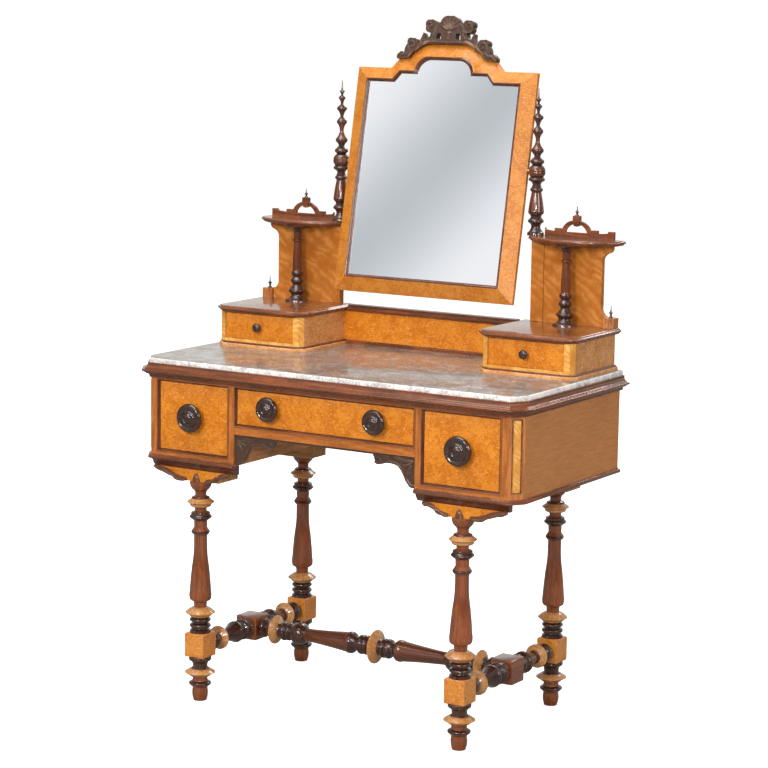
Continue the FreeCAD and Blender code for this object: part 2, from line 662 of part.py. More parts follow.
def stretcher_discs():
    """Bevelled maple discs on the three stretchers."""
    discs = [placed(along_x(turned(MIDDLE_DISC)), 0, MIDDLE_Y, STRETCH_Z)]
    for shape in (CROSS_DISC, end_for_end(CROSS_DISC)):
        discs.append(placed(along_x(turned(shape)), 0, MIDDLE_Y, STRETCH_Z))
    for shape in (SIDE_DISC_PROFILE, end_for_end(SIDE_DISC_PROFILE)):
        for side in (-1, 1):
            discs.append(placed(along_y(turned(shape)), side * LEG_X, MIDDLE_Y, STRETCH_Z))
    return discs


# ---- Upper boxes ----
def box_plinth():
    return moulded(box_plan, [(MARBLE_TOP, 8.0), (MARBLE_TOP + 5, 8.0),
                              (MARBLE_TOP + 8, 5.0), (BOX_LOW, 4.0)])


def box_case():
    """Floor, two sides, back and inner guides of the right-hand box."""
    front = BOX_FRONT + BOX_CORNER
    floor = block(BOX_IN + 10, BOX_OUT - 10, front, BOX_REAR - 10, BOX_LOW, SMALL_Z0)
    inner = block(BOX_IN, BOX_IN + 10, front, BOX_REAR, BOX_LOW, BOX_HIGH)
    outer = block(BOX_OUT - 10, BOX_OUT, front, BOX_REAR, BOX_LOW, BOX_HIGH)
    back = block(BOX_IN + 10, BOX_OUT - 10, BOX_REAR - 10, BOX_REAR, BOX_LOW, BOX_HIGH)
    guides = []
    for x0, x1 in ((BOX_IN + 10, SMALL_X0), (SMALL_X1, BOX_OUT - 10)):
        guides.append(block(x0, x1, front, BOX_REAR - 10, SMALL_Z0, SMALL_Z0 + 12))
    return fuse([floor, inner, outer, back] + guides)


def box_posts():
    """Light maple posts with two facets at the front corners, and the rail below
    the drawer between them."""
    near = BOX_CORNER
    corner = [(0, 0), (near * 0.68, near * 0.2), (near, near), (near - 10, near), (0, 13)]
    outer = prism_z([(BOX_OUT - near + x, BOX_FRONT + y) for x, y in corner],
                    BOX_LOW, BOX_HIGH)
    inner = prism_z([(BOX_IN + near - x, BOX_FRONT + y) for x, y in corner],
                    BOX_LOW, BOX_HIGH)
    rail = block(BOX_IN + near, BOX_OUT - near, BOX_FRONT, BOX_FRONT + near,
                 BOX_LOW, SMALL_Z0)
    return both_sides(outer) + both_sides(inner) + both_sides(rail)


def box_top_board():
    return moulded(lambda out: [(x, y + (5.0 if y == BOX_REAR else 0.0))
                                for x, y in box_plan(out)],
                   [(BOX_HIGH, 4.0), (BOX_HIGH + 2, 8.0), (BOX_HIGH + 5, 9.0),
                    (BOX_HIGH + 7, 12.0), (BOX_HIGH + 9, 12.0), (BOX_TOP - 2, 7.0),
                    (BOX_TOP, 4.0)])


RAIL_Y = (195.0, 207.0)


def back_rail():
    return [block(-BOX_IN, BOX_IN, RAIL_Y[0], RAIL_Y[1], BOX_LOW, BOX_HIGH)]


def back_rail_mouldings():
    """The cap over the back rail and the strip where it meets the marble."""
    cap_steps = [(RAIL_Y[0] - 4, BOX_HIGH), (RAIL_Y[0] - 8, 851.0, 1.0),
                 (RAIL_Y[0] - 8, 856.0), (RAIL_Y[0] - 2, 861.0, 1.5),
                 (RAIL_Y[1] + 4, 861.0), (RAIL_Y[1] + 4, BOX_HIGH)]
    foot_steps = [(RAIL_Y[0] - 5, MARBLE_TOP), (RAIL_Y[0] - 4, MARBLE_TOP + 6, 1.0),
                  (RAIL_Y[0], BOX_LOW), (RAIL_Y[1], BOX_LOW), (RAIL_Y[1], MARBLE_TOP)]
    pieces = []
    for steps, half in ((cap_steps, BOX_IN - 12.5), (foot_steps, BOX_IN - 8.5)):
        wire = Part.Wire(edges_of(steps + [steps[0]], lambda y, z: Vector(-half, y, z)))
        pieces.append(Part.Face(wire).extrude(Vector(2 * half, 0, 0)))
    return pieces


# ---- Backboards, shelves and mirror posts ----
BACK_INNER = 250.0
BACK_OUTER = 423.0
CORNER_X = (435.0, 460.0)


def backboard():
    """Right-hand backboard: bracket under the shelf, hollow curve at the foot."""
    outline = [(BACK_INNER, BOX_TOP), (CORNER_X[0], BOX_TOP), (CORNER_X[0], 882.0),
               (BACK_OUTER, 905.0, 4.5), (BACK_OUTER, 1008.0), (438.0, 1022.0, 2.5),
               (446.0, 1032.0, -2.0), (446.0, SHELF_LOW), (BACK_INNER, SHELF_LOW)]
    return cut_out(outline, BACK_Y[0], BACK_Y[1])


def pilaster():
    """Narrow strip along the inner edge of a backboard."""
    return block(BACK_INNER, 281.0, BACK_Y[0] - 3, BACK_Y[0], BOX_TOP, SHELF_LOW)


def corner_block():
    """Small fluted block at the outer rear corner of a box."""
    solid = block(CORNER_X[0], CORNER_X[1], 195.0, BACK_Y[1], BOX_TOP, 882.0)
    for index in range(3):
        x = CORNER_X[0] + 6.25 * (index + 1)
        flute = Part.makeCylinder(1.8, 18.0, Vector(x, 194.6, BOX_TOP + 2), Vector(0, 0, 1))
        solid = solid.cut(flute)
    return solid


def shelf_outline(inset):
    """Straight at the back and the ends, bowed at the front."""
    inner = 243.0 + inset
    outer = 468.0 - inset
    return [(inner, SHELF_REAR), (inner, 200.0), ((inner + outer) / 2, 145.0 + inset),
            (outer, 200.0), (outer, SHELF_REAR)]


def shelf_slab(inset, z0, z1):
    corner = [Vector(x, y, z0) for x, y in shelf_outline(inset)]
    edges = [Part.LineSegment(corner[0], corner[1]).toShape(),
             Part.Arc(corner[1], corner[2], corner[3]).toShape(),
             Part.LineSegment(corner[3], corner[4]).toShape(),
             Part.LineSegment(corner[4], corner[0]).toShape()]
    return Part.Face(Part.Wire(edges)).extrude(Vector(0, 0, z1 - z0))


def shelf():
    """Bow-fronted shelf with a stepped edge."""
    return fuse([shelf_slab(5.0, SHELF_LOW, SHELF_LOW + 3.5),
                 shelf_slab(0.0, SHELF_LOW + 3.5, SHELF_TOP - 2),
                 shelf_slab(2.5, SHELF_TOP - 2, SHELF_TOP)])


COLUMN = [(SHELF_LOW, 29.2), (1036.5, 29.2), (1034.0, 26.5, 0.6), (1026.0, 12.5, -3.0),
          (1019.0, 8.6, -1.0), (1006.0, 8.4), (1004.5, 11.0), (1002.7, 11.8, 0.4),
          (1000.5, 11.0, 0.4), (997.0, 8.2), (933.0, 10.9, 0.4), (929.5, 13.0),
          (925.5, 13.8, 0.6), (921.0, 12.6, 0.6), (917.0, 10.0, -0.6), (912.0, 13.5),
          (908.0, 14.5, 0.6), (904.0, 13.5, 0.6), (898.0, 10.5, -0.8), (891.0, 15.0),
          (888.0, 18.5, -0.5), (884.5, 19.6, 0.6), (881.0, 18.5, 0.5), (876.0, 14.0, -0.8),
          (871.0, 16.0, -0.6), (866.0, 23.5, -1.5), (863.5, 27.0, 0.4), (BOX_TOP, 27.5)]


def column():
    return placed(turned(COLUMN), COLUMN_X, COLUMN_Y)


def gallery():
    """Low rail at the back of a shelf, with end blocks, steps and a pierced arch."""
    y0 = 213.0
    y1 = 220.0
    low = SHELF_TOP
    rail = cut_out([(277.0, low), (447.0, low), (447.0, 1068.5), (432.0, 1068.5),
                    (429.0, 1064.0, 1.0), (407.0, 1062.0), (407.0, 1069.0),
                    (393.0, 1069.0), (391.0, 1062.0), (ARCH_X - 37, 1062.0),
                    (ARCH_X - 39, 1069.0), (301.0, 1069.0), (301.0, 1062.0),
                    (281.0, 1064.0), (277.0, 1068.5, 1.0)], y0, y1)
    arch = cut_out([(ARCH_X + 37, 1061.0), (ARCH_X, 1088.0, -9.0),
                    (ARCH_X - 37, 1061.0, -9.0)], y0, y1)
    loop = cut_out([(ARCH_X + 26.5, 1062.0), (ARCH_X, 1079.5, -6.0),
                    (ARCH_X - 26.5, 1062.0, -6.0)], y0 - 1, y1 + 1)
    key = cut_out([(ARCH_X - 6, 1076.0), (ARCH_X, 1074.5, 0.5), (ARCH_X + 6, 1076.0, 0.5),
                   (ARCH_X + 8.5, 1088.0), (ARCH_X + 8.5, 1098.5), (ARCH_X - 8.5, 1098.5),
                   (ARCH_X - 8.5, 1088.0)], y0 - 1.5, y1 + 1.5)
    return fuse([rail, arch.cut(loop), key])


SPIKE = [(21.0, 0.8), (12.0, 1.6, -0.3), (9.5, 4.6, -0.6), (8.0, 4.8, 0.3), (6.0, 2.4, -0.4),
         (3.5, 2.2), (1.5, 4.4), (0.0, 5.0)]
CORNER_SPIKE_TALL = 1.28


def finials():
    """Spiked finials: one over each arch and one on each corner block."""
    small = turned(SPIKE)
    tall = turned([(step[0] * CORNER_SPIKE_TALL,) + tuple(step[1:]) for step in SPIKE])
    over_arch = placed(small, ARCH_X, 216.5, 1098.5)
    over_corner = placed(tall, (CORNER_X[0] + CORNER_X[1]) / 2, 207.5, 882.0)
    return both_sides(over_arch) + both_sides(over_corner)


POST = [(1372.6, 0.9), (1352.0, 2.2, -0.2), (1349.5, 5.2), (1347.6, 5.8, 0.3),
        (1345.5, 4.6, 0.4), (1340.0, 2.4, -0.6), (1336.0, 6.5), (1333.0, 8.0, 0.4),
        (1330.0, 6.5, 0.4), (1319.0, 3.0, -0.9), (1313.0, 9.5), (1308.8, 11.7, 0.5),
        (1304.5, 9.5, 0.5), (1290.0, 3.8, -1.4), (1283.5, 9.5), (1278.5, 11.7, 0.6),
        (1273.5, 9.5, 0.6), (1257.0, 4.6, -1.6), (1242.0, 11.5, -1.2), (1236.7, 13.7, 0.6),
        (1231.5, 11.5, 0.6), (1223.0, 6.8, -1.0), (1217.5, 12.5), (1212.5, 15.6, 0.6),
        (1208.0, 13.0, 0.8), (1205.0, 10.5), (1201.5, 14.5, 0.4), (1190.5, 18.2, 1.6),
        (1180.0, 15.0, 1.6), (1177.5, 15.0), (1173.0, 18.4, 0.6), (1168.5, 14.0, 0.8),
        (1162.0, 9.0, -0.8), (1155.0, 11.5), (1150.6, 14.5, 0.6), (1147.0, 12.0, 0.6),
        (1144.0, 10.8), (1105.0, 17.0, 0.6), (1100.6, 17.4, 0.3), (1096.0, 14.5, 0.6),
        (1090.0, 11.5, -0.6), (1085.0, 16.0), (1081.6, 17.6, 0.5), (1078.0, 16.0, 0.5),
        (1070.0, 10.2, -1.2), (1062.0, 13.0, -0.8), (1057.0, 17.6, -0.6), (1055.0, 18.6),
        (SHELF_TOP, 18.8)]
PIN_IN_POST = 14.0


def mirror_post():
    """Right-hand mirror post, flattened and bored at the ball for the pivot pin."""
    post = placed(turned(POST), POST_X, POST_Y)
    flat = block(POST_X - 30, MIRROR_HALF + 4.2, POST_Y - 30, POST_Y + 30,
                 PIVOT_Z - 12, PIVOT_Z + 12)
    bore = Part.makeCylinder(PIN_R + PIN_CLEAR, PIN_IN_POST + 1.5,
                             Vector(MIRROR_HALF + 4.2, POST_Y, PIVOT_Z), Vector(1, 0, 0))
    return post.cut(flat).cut(bore)


# ---- Mirror ----
def tilted(shape):
    """From the mirror's own plane (x, depth, height from the pivot) to its rest place."""
    copy = shape.copy()
    copy.rotate(Vector(0, 0, 0), Vector(1, 0, 0), -TILT)
    copy.translate(Vector(0, POST_Y, PIVOT_Z))
    return copy


def sight_outline(out):
    """Edge of the visible glass, grown by out: shoulders, slanted steps, arched middle."""
    side = SIGHT_HALF + out
    slant = 0.42 * out
    curve = 32.8 + out
    top = 235.6 + out
    bulge = curve * (1 - math.sqrt(0.5))
    return [(-side, SIGHT_LOW - out), (side, SIGHT_LOW - out), (side, 183.0 + out),
            (128.4 + slant, 183.0 + out), (111.4 + slant, 202.8 + out),
            (68.7 + out, 202.8 + out), (35.9, top, -bulge * 0.98), (-35.9, top),
            (-68.7 - out, 202.8 + out, -bulge * 0.98), (-111.4 - slant, 202.8 + out),
            (-128.4 - slant, 183.0 + out), (-side, 183.0 + out)]


FRAME_TOP = 272.7
CORNER_HIGH = 216.6


def frame_outline():
    """Outer edge of the mirror frame."""
    return [(-MIRROR_HALF, MIRROR_LOW), (MIRROR_HALF, MIRROR_LOW),
            (MIRROR_HALF, CORNER_HIGH), (146.4, CORNER_HIGH), (127.4, 236.7),
            (98.0, 240.0), (40.0, FRAME_TOP, -9.0), (-40.0, FRAME_TOP),
            (-98.0, 240.0, -9.0), (-127.4, 236.7), (-146.4, CORNER_HIGH),
            (-MIRROR_HALF, CORNER_HIGH)]


def outline_wire(steps, depth):
    steps = closed(steps)
    return Part.Wire(edges_of(steps, lambda x, z: Vector(x, depth, z)))


def sloped_frame():
    """Solid under the sloping faces, from the inner outline out to the thin edge."""
    inner = outline_wire(sight_outline(SLIP), FRAME_INNER)
    outer = outline_wire(frame_outline(), FRAME_EDGE)
    slopes = Part.makeLoft([inner, outer], True, True)
    return slopes.fuse(cut_out(frame_outline(), FRAME_EDGE, FRAME_BACK))


def mirror_frame_parts():
    """Two stiles, the bottom rail and the shaped top rail, mitred at the corners.

    The faces slope back from the proud inner edge to the thin outer edge.
    """
    whole = sloped_frame().cut(cut_out(sight_outline(SLIP), -40, 30))
    inner = SIGHT_HALF + SLIP
    low = SIGHT_LOW - SLIP
    high = 183.0 + SLIP
    reach = 60.0
    drop = reach * (low - MIRROR_LOW) / (MIRROR_HALF - inner)
    rise = reach * (CORNER_HIGH - high) / (MIRROR_HALF - inner)
    stile = prism_y([(inner, low), (inner + reach, low - drop),
                     (inner + reach, high + rise), (inner, high)], -40, 30)
    middle = prism_y([(-inner, low), (-inner - reach, low - drop),
                      (inner + reach, low - drop), (inner, low)], -40, 30)
    right = whole.common(stile)
    left = mirrored(right)
    bottom = whole.common(middle)
    top = whole.cut(stile).cut(mirrored(stile)).cut(middle)
    return left, right, bottom, top


def mirror_slip():
    """Dark slip between the frame and the glass."""
    outer = cut_out(sight_outline(SLIP), FRAME_INNER - 1, GLASS_FRONT)
    return outer.cut(cut_out(sight_outline(0.0), -40, 30))


def mirror_glass():
    return cut_out(sight_outline(SLIP - 0.5), GLASS_FRONT, GLASS_BACK)


def mirror_backboard():
    return cut_out(sight_outline(SLIP - 0.5), GLASS_BACK, GLASS_BACK + 6.0)


def mirror_crest():
    """Pierced scrollwork that follows the arched top of the frame."""
    half = [(128.0, 237.0), (124.0, 250.0, -3.0), (110.0, 250.0, -4.0), (104.0, 272.0, -3.0),
            (92.0, 284.0, -7.0), (78.0, 274.0, -5.0), (68.0, 280.0, 2.0), (66.0, 298.0, 1.0),
            (60.0, 284.0, -0.8), (48.0, 290.0, 2.0), (46.0, 300.0), (60.0, 312.0, -7.0),
            (50.0, 327.0, -7.0), (36.0, 322.0, -3.0), (24.0, 322.0, 1.0)]
    left = []
    sag = -6.0
    for step in reversed(half):
        left.append((-step[0], step[1], sag))
        sag = step[2] if len(step) > 2 else 0.0
    top = [(0.0, 336.5, -6.0)]
    outline = half + top + left
    base = [(-98.0, 238.0), (98.0, 238.0)]
    solid = cut_out(outline + base, FRAME_INNER + 4, FRAME_BACK - 1)
    cavity = cut_out(frame_outline(), -40, 30)
    solid = solid.cut(cavity)
    hole = cut_out([(19.0, 284.0), (32.0, 284.0), (30.0, 297.0), (19.0, 297.0)], -40, 30)
    return solid.cut(hole).cut(mirrored(hole))


def mirror_pivots():
    """A turned boss on each side of the frame with the steel pin it turns on."""
    boss = Part.makeCylinder(4.5, 3.8, Vector(MIRROR_HALF, 0, 0), Vector(1, 0, 0))
    pin = Part.makeCylinder(PIN_R, PIN_IN_POST + 3.8, Vector(MIRROR_HALF, 0, 0),
                            Vector(1, 0, 0))
    return both_sides(fuse([boss, pin]))


# ---- Export ----
def export(name, shapes):
    for shape in shapes:
        for solid in shape.Solids:
            if not solid.isValid():
                raise RuntimeError(name + " has an invalid solid")
    solids = [solid for shape in shapes for solid in shape.Solids]
    whole = solids[0] if len(solids) == 1 else Part.makeCompound(solids)
    whole.exportStep("parts/" + name + ".step")


def static_nodes():
    return {
        "marble_top": marble_top(),
        "cornice_moulding": cornice_moulding(),
        "case_top_board": top_board(),
        "case_side_panels": side_panels(),
        "kneehole_panels": kneehole_panels(),
        "case_back": case_back(),
        "case_bottom_boards": bottom_boards(),
        "front_frame": front_frame(),
        "opening_trims": opening_trims(),
        "cant_posts": cant_posts(),
        "cant_panels": cant_panels(),
        "base_beads": base_beads(),
        "base_coves": base_coves(),
        "front_aprons": front_aprons(),
        "rear_aprons": rear_aprons(),
        "apron_carvings": apron_carvings(),
        "leg_mounting_blocks": leg_blocks(),
        "kneehole_brackets": kneehole_brackets(),
        "drawer_runners": drawer_runners(),
        "leg_front_left": leg_turnings(-LEG_X, LEG_FRONT_Y),
        "leg_front_right": leg_turnings(LEG_X, LEG_FRONT_Y),
        "leg_rear_left": leg_turnings(-LEG_X, LEG_REAR_Y),
        "leg_rear_right": leg_turnings(LEG_X, LEG_REAR_Y),
        "leg_rings": leg_rings(),
        "leg_square_blocks": leg_square_blocks(),
        "side_stretchers": side_stretcher(-1) + side_stretcher(1),
        "cross_stretcher": cross_stretcher(),
        "stretcher_discs": stretcher_discs(),
        "upper_box_plinths": both_sides(box_plinth()),
        "left_box_case": [mirrored(box_case())],
        "right_box_case": [box_case()],
        "upper_box_posts": box_posts(),
        "upper_box_tops": both_sides(box_top_board()),
        "back_rail": back_rail(),
        "back_rail_mouldings": back_rail_mouldings(),
        "backboards": both_sides(backboard()),
        "pilasters": both_sides(pilaster()),
        "corner_blocks": both_sides(corner_block()),
        "shelves": both_sides(shelf()),
        "shelf_columns": both_sides(column()),
        "shelf_galleries": both_sides(gallery()),
        "finials": finials(),
        "mirror_posts": both_sides(mirror_post()),
    }


def drawer_nodes():
    nodes = {}
    front, tray, knob = deep_drawer()
    for side, turn in (("right", lambda shape: shape), ("left", mirrored)):
        nodes[side + "_drawer_front"] = [turn(front), turn(knob)]
        nodes[side + "_drawer_box"] = [turn(tray)]
    front, tray, knob = centre_drawer()
    nodes["centre_drawer_front"] = [front] + both_sides(knob)
    nodes["centre_drawer_box"] = [tray]
    front, tray, knob = small_drawer()
    for side, turn in (("right", lambda shape: shape), ("left", mirrored)):
        nodes["small_" + side + "_drawer_front"] = [turn(front), turn(knob)]
        nodes["small_" + side + "_drawer_box"] = [turn(tray)]
    return nodes


def mirror_nodes():
    left, right, bottom, top = mirror_frame_parts()
    return {
        "mirror_frame_stiles": [tilted(left), tilted(right)],
        "mirror_frame_rails": [tilted(bottom), tilted(top)],
        "mirror_slip": [tilted(mirror_slip())],
        "mirror_glass": [tilted(mirror_glass())],
        "mirror_backboard": [tilted(mirror_backboard())],
        "mirror_crest": [tilted(mirror_crest())],
        "mirror_pivots": [tilted(shape) for shape in mirror_pivots()],
    }


os.makedirs("parts", exist_ok=True)
for group in (static_nodes(), drawer_nodes(), mirror_nodes()):
    for node_name, node_shapes in group.items():
        export(node_name, node_shapes)
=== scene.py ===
import math

import bmesh
import bpy
import numpy as np
from mathutils import Matrix, Vector


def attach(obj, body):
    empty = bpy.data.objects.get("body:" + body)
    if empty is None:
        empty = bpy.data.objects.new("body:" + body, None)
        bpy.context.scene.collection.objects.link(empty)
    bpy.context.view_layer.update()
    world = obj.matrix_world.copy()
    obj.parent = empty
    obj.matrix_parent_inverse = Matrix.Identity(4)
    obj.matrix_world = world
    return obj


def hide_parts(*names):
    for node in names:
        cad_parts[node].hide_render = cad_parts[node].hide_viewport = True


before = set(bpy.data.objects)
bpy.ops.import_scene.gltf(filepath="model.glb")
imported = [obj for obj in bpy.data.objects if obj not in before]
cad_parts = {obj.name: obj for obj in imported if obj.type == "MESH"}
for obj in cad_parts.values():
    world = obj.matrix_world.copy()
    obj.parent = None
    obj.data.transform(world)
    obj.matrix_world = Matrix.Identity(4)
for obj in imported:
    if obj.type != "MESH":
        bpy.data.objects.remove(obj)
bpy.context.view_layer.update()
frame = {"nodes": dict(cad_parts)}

bl_info = {
    "name": "Dressing Table with Swinging Mirror",
    "version": (1, 0, 0),
    "blender": (4, 5, 0),
    "location": "View3D > Sidebar > Dressing Table",
    "description": "Turned, moulded and carved pieces and their finishes for a dressing table",
    "category": "Object",
}

MM = 0.001
PER_METRE = 1000.0                     # millimetres in a metre
SHARP = math.radians(32.0)             # edges sharper than this stay crisp
SLANT = math.hypot(21.0, 32.0)         # width of a canted corner of the case
CASE_FRONT = -252.0
CASE_PATH = [(-474, 215), (-474, -220), (-453, -252), (453, -252), (474, -220), (474, 215)]
NODES = frame["nodes"]
TILT = math.radians(10.8)
PIVOT = (0.0, 211.0, 1190.5)


# ---------------------------------------------------------------- settings

class WoodColours(bpy.types.PropertyGroup):
    """Colours of the veneers and solid woods."""
    burr: bpy.props.FloatVectorProperty(
        name="Burr maple", description="Drawer fronts, aprons and back rail",
        subtype="COLOR", size=3, min=0, max=1, default=(0.66, 0.215, 0.019))
    frame: bpy.props.FloatVectorProperty(
        name="Frame maple", description="Mirror frame, rings and blocks",
        subtype="COLOR", size=3, min=0, max=1, default=(0.60, 0.215, 0.030))
    flame: bpy.props.FloatVectorProperty(
        name="Flame maple", description="Backboards, corner posts and corner strips",
        subtype="COLOR", size=3, min=0, max=1, default=(0.55, 0.195, 0.030))
    side: bpy.props.FloatVectorProperty(
        name="Side veneer", description="Sides of the case and of the raised boxes",
        subtype="COLOR", size=3, min=0, max=1, default=(0.37, 0.145, 0.042))
    walnut: bpy.props.FloatVectorProperty(
        name="Walnut", description="Mouldings, rails and stiles",
        subtype="COLOR", size=3, min=0, max=1, default=(0.165, 0.042, 0.010))
    turned: bpy.props.FloatVectorProperty(
        name="Turned walnut", description="Legs, stretchers, posts and columns",
        subtype="COLOR", size=3, min=0, max=1, default=(0.225, 0.056, 0.014))
    carved: bpy.props.FloatVectorProperty(
        name="Carved walnut", description="Crest, brackets and leaf edgings",
        subtype="COLOR", size=3, min=0, max=1, default=(0.085, 0.045, 0.029))
    plain: bpy.props.FloatVectorProperty(
        name="Secondary wood", description="Drawer linings, blocks and backs",
        subtype="COLOR", size=3, min=0, max=1, default=(0.50, 0.265, 0.110))


class MakingSizes(bpy.types.PropertyGroup):
    """How finely the pieces are made."""
    turning_sides: bpy.props.IntProperty(
        name="Turning sides", description="Facets round a turned piece",
        min=12, max=160, default=64)
    arris: bpy.props.FloatProperty(
        name="Softened arris", description="Width of the worn edge on flat boards",
        subtype="DISTANCE", unit="LENGTH", min=0.0, max=0.003, default=0.0007)
    knob_big: bpy.props.FloatProperty(
        name="Deep drawer knob", description="Radius of the knobs of the deep drawers",
        subtype="DISTANCE", unit="LENGTH", min=0.01, max=0.04, default=0.032)
    knob_middle: bpy.props.FloatProperty(
        name="Middle drawer knob", description="Radius of the knobs of the middle drawer",
        subtype="DISTANCE", unit="LENGTH", min=0.01, max=0.04, default=0.027)


class StageSettings(bpy.types.PropertyGroup):
    """Floor, light and camera."""
    lens: bpy.props.FloatProperty(
        name="Lens", description="Focal length on a 36 mm sensor", min=20, max=300,
        default=121.4)
    key: bpy.props.FloatProperty(
        name="Key light", description="Power of the large front light in watts",
        min=0, max=5000, default=200)
    fill: bpy.props.FloatProperty(
        name="Fill light", description="Power of the side light in watts",
        min=0, max=5000, default=68)
    floor: bpy.props.FloatVectorProperty(
        name="Floor", description="Colour of the plain floor", subtype="COLOR", size=3,
        min=0, max=1, default=(0.93, 0.93, 0.92))


def woods():
    """The wood colours set for this scene."""
    return bpy.context.scene.dressing_woods


def sizes():
    """The making sizes set for this scene."""
    return bpy.context.scene.dressing_sizes


# ---------------------------------------------------------------- surfaces

def trace(steps, fine=1.2):
    """Steps (a, b) or (a, b, sag) as an array of points.  A step with a sag is reached
    along the circle through both ends that stands sag to the left of the chord, cut into
    pieces of about fine: centre = middle of chord - normal * (radius - sag)."""
    parts = [np.array([steps[0][:2]], float)]
    for before, step in zip(steps, steps[1:]):
        p = np.array(before[:2], float)
        q = np.array(step[:2], float)
        sag = step[2] if len(step) > 2 else 0.0
        chord = np.hypot(*(q - p))
        if abs(sag) < 1e-9 or chord < 1e-9:
            parts.append(q[None])
            continue
        normal = np.array([-(q - p)[1], (q - p)[0]]) / chord
        radius = (chord ** 2 / 4 + sag ** 2) / (2 * sag)
        centre = (p + q) / 2 + normal * (sag - radius)
        start = math.atan2(*(p - centre)[::-1])
        turn = 4 * math.atan(2 * sag / chord)
        count = max(3, int(math.ceil(abs(turn * radius) / fine)))
        angle = start - turn * np.arange(1, count + 1) / count
        parts.append(centre + abs(radius) * np.stack([np.cos(angle), np.sin(angle)], 1))
    return np.concatenate(parts)


def grid_faces(rows, cols, wrap_rows, wrap_cols):
    """Quads between neighbours of a rows by cols grid of points, joined up where asked."""
    r = np.arange(rows if wrap_rows else rows - 1)
    c = np.arange(cols if wrap_cols else cols - 1)
    i, j = np.meshgrid(r, c, indexing="ij")
    a = i * cols + j
    b = i * cols + (j + 1) % cols
    d = ((i + 1) % rows) * cols + j
    e = ((i + 1) % rows) * cols + (j + 1) % cols
    return np.stack([a, b, e, d], -1).reshape(-1, 4)


def solid(points, grain, wrap_rows=False):
    """A closed skin from a grid (rows, cols, 3) whose columns run round it; its first and
    last rows become flat ends.  It is kept as (points, (quads, ends), grain)."""
    rows, cols = points.shape[:2]
    quads = grid_faces(rows, cols, wrap_rows, True)
    ends = [] if wrap_rows else [np.arange(cols)[::-1],
                                 np.arange((rows - 1) * cols, rows * cols)]
    return points.reshape(-1, 3), (quads, ends), grain.reshape(-1, 3)


def lathe(profile, at=(0, 0, 0), axis="z", sides=None, fine=1.2):
    """A turning: the point at height h and angle t is (r(h) cos t, r(h) sin t, h), with
    r(h) the traced profile; z runs along the asked axis.  Grain follows the axis."""
    sides = sides or sizes().turning_sides
    line = trace([(s[1], s[0]) + tuple(s[2:]) for s in profile], fine)
    r, h = line[:, :1], line[:, 1:]
    t = np.linspace(0, 2 * np.pi, sides, endpoint=False)[None]
    x, y, z = r * np.cos(t), r * np.sin(t), h + 0 * t
    grain = np.stack([z, x, y], -1)
    order = {"z": (x, y, z), "x": (z, x, y), "y": (x, z, y)}[axis]
    points = np.stack(order, -1) + np.array(at, float)
    offset = np.array([at[0] * 1.7 + at[1] * 0.9, at[1] * 1.3, at[0] * 0.7])
    return solid(points, grain + offset)


def mitres(path, closed):
    """Outward shift per unit at each corner of a plan path: the sum of the two faces'
    normals over one plus their dot product; normals stand to the right of travel."""
    path = np.asarray(path, float)
    nxt = np.roll(path, -1, 0) - path
    if not closed:
        nxt[-1] = nxt[-2]
    nxt /= np.linalg.norm(nxt, axis=1, keepdims=True)
    prev = np.roll(nxt, 1, 0)
    if not closed:
        prev[0] = nxt[0]
    na = np.stack([prev[:, 1], -prev[:, 0]], 1)
    nb = np.stack([nxt[:, 1], -nxt[:, 0]], 1)
    return (na + nb) / (1 + (na * nb).sum(1, keepdims=True))


def moulding(section, path, closed=False, put=None, fine=0.6):
    """A section (out, up) carried along a plan path: corner + mitre * out, raised by up.
    put turns (a, b, up) arrays into a place; the grain runs with the path."""
    line = trace(section + [section[0][:2]], fine)[:-1]
    path = np.asarray(path, float)
    shift = mitres(path, closed)
    run = np.concatenate([[0], np.cumsum(np.linalg.norm(np.diff(path, axis=0), axis=1))])
    a = path[:, :1] + shift[:, :1] * line[None, :, 0]
    b = path[:, 1:] + shift[:, 1:] * line[None, :, 0]
    up = np.repeat(line[None, :, 1], len(path), 0)
    points = np.stack([a, b, up], -1)
    if put:
        points = put(points)
    grain = np.stack([run[:, None] + 0 * up, line[None, :, 0] + 0 * up, up], -1)
    return solid(points, grain + path[0].sum() * 0.37, wrap_rows=closed)


def layered(plan, layers):
    """A slab whose plan changes with height: plan(out) gives the outline at each (z, out)
    layer; the first and last layers are closed flat.  The grain runs along X."""
    rings = []
    for z, out in layers:
        ring = np.asarray(plan(out), float)
        rings.append(np.column_stack([ring, np.full(len(ring), z)]))
    points = np.stack(rings)
    return solid(points, points.copy())


def front(points):
    """(x, z, depth towards the front) to a place on the case's front face."""
    return np.stack([points[..., 0], CASE_FRONT - points[..., 2], points[..., 1]], -1)


def leaning(points):
    """The mirror's own plane (x, height, depth towards the front) to its rest place:
    turned back by the tilt about the pivot."""
    x, h, d = points[..., 0], points[..., 1], points[..., 2]
    y = h * math.sin(TILT) - d * math.cos(TILT) + PIVOT[1]
    z = h * math.cos(TILT) + d * math.sin(TILT) + PIVOT[2]
    return np.stack([x, y, z], -1)


def flipped(surface):
    """The same surface on the other side of the middle plane."""
    co, (quads, ends), grain = surface
    faces = quads[:, ::-1], [end[::-1] for end in ends]
    return co * np.array([-1, 1, 1]), faces, grain + 31.0


def pair(surface):
    """A surface and its twin across the middle plane."""
    return [surface, flipped(surface)]


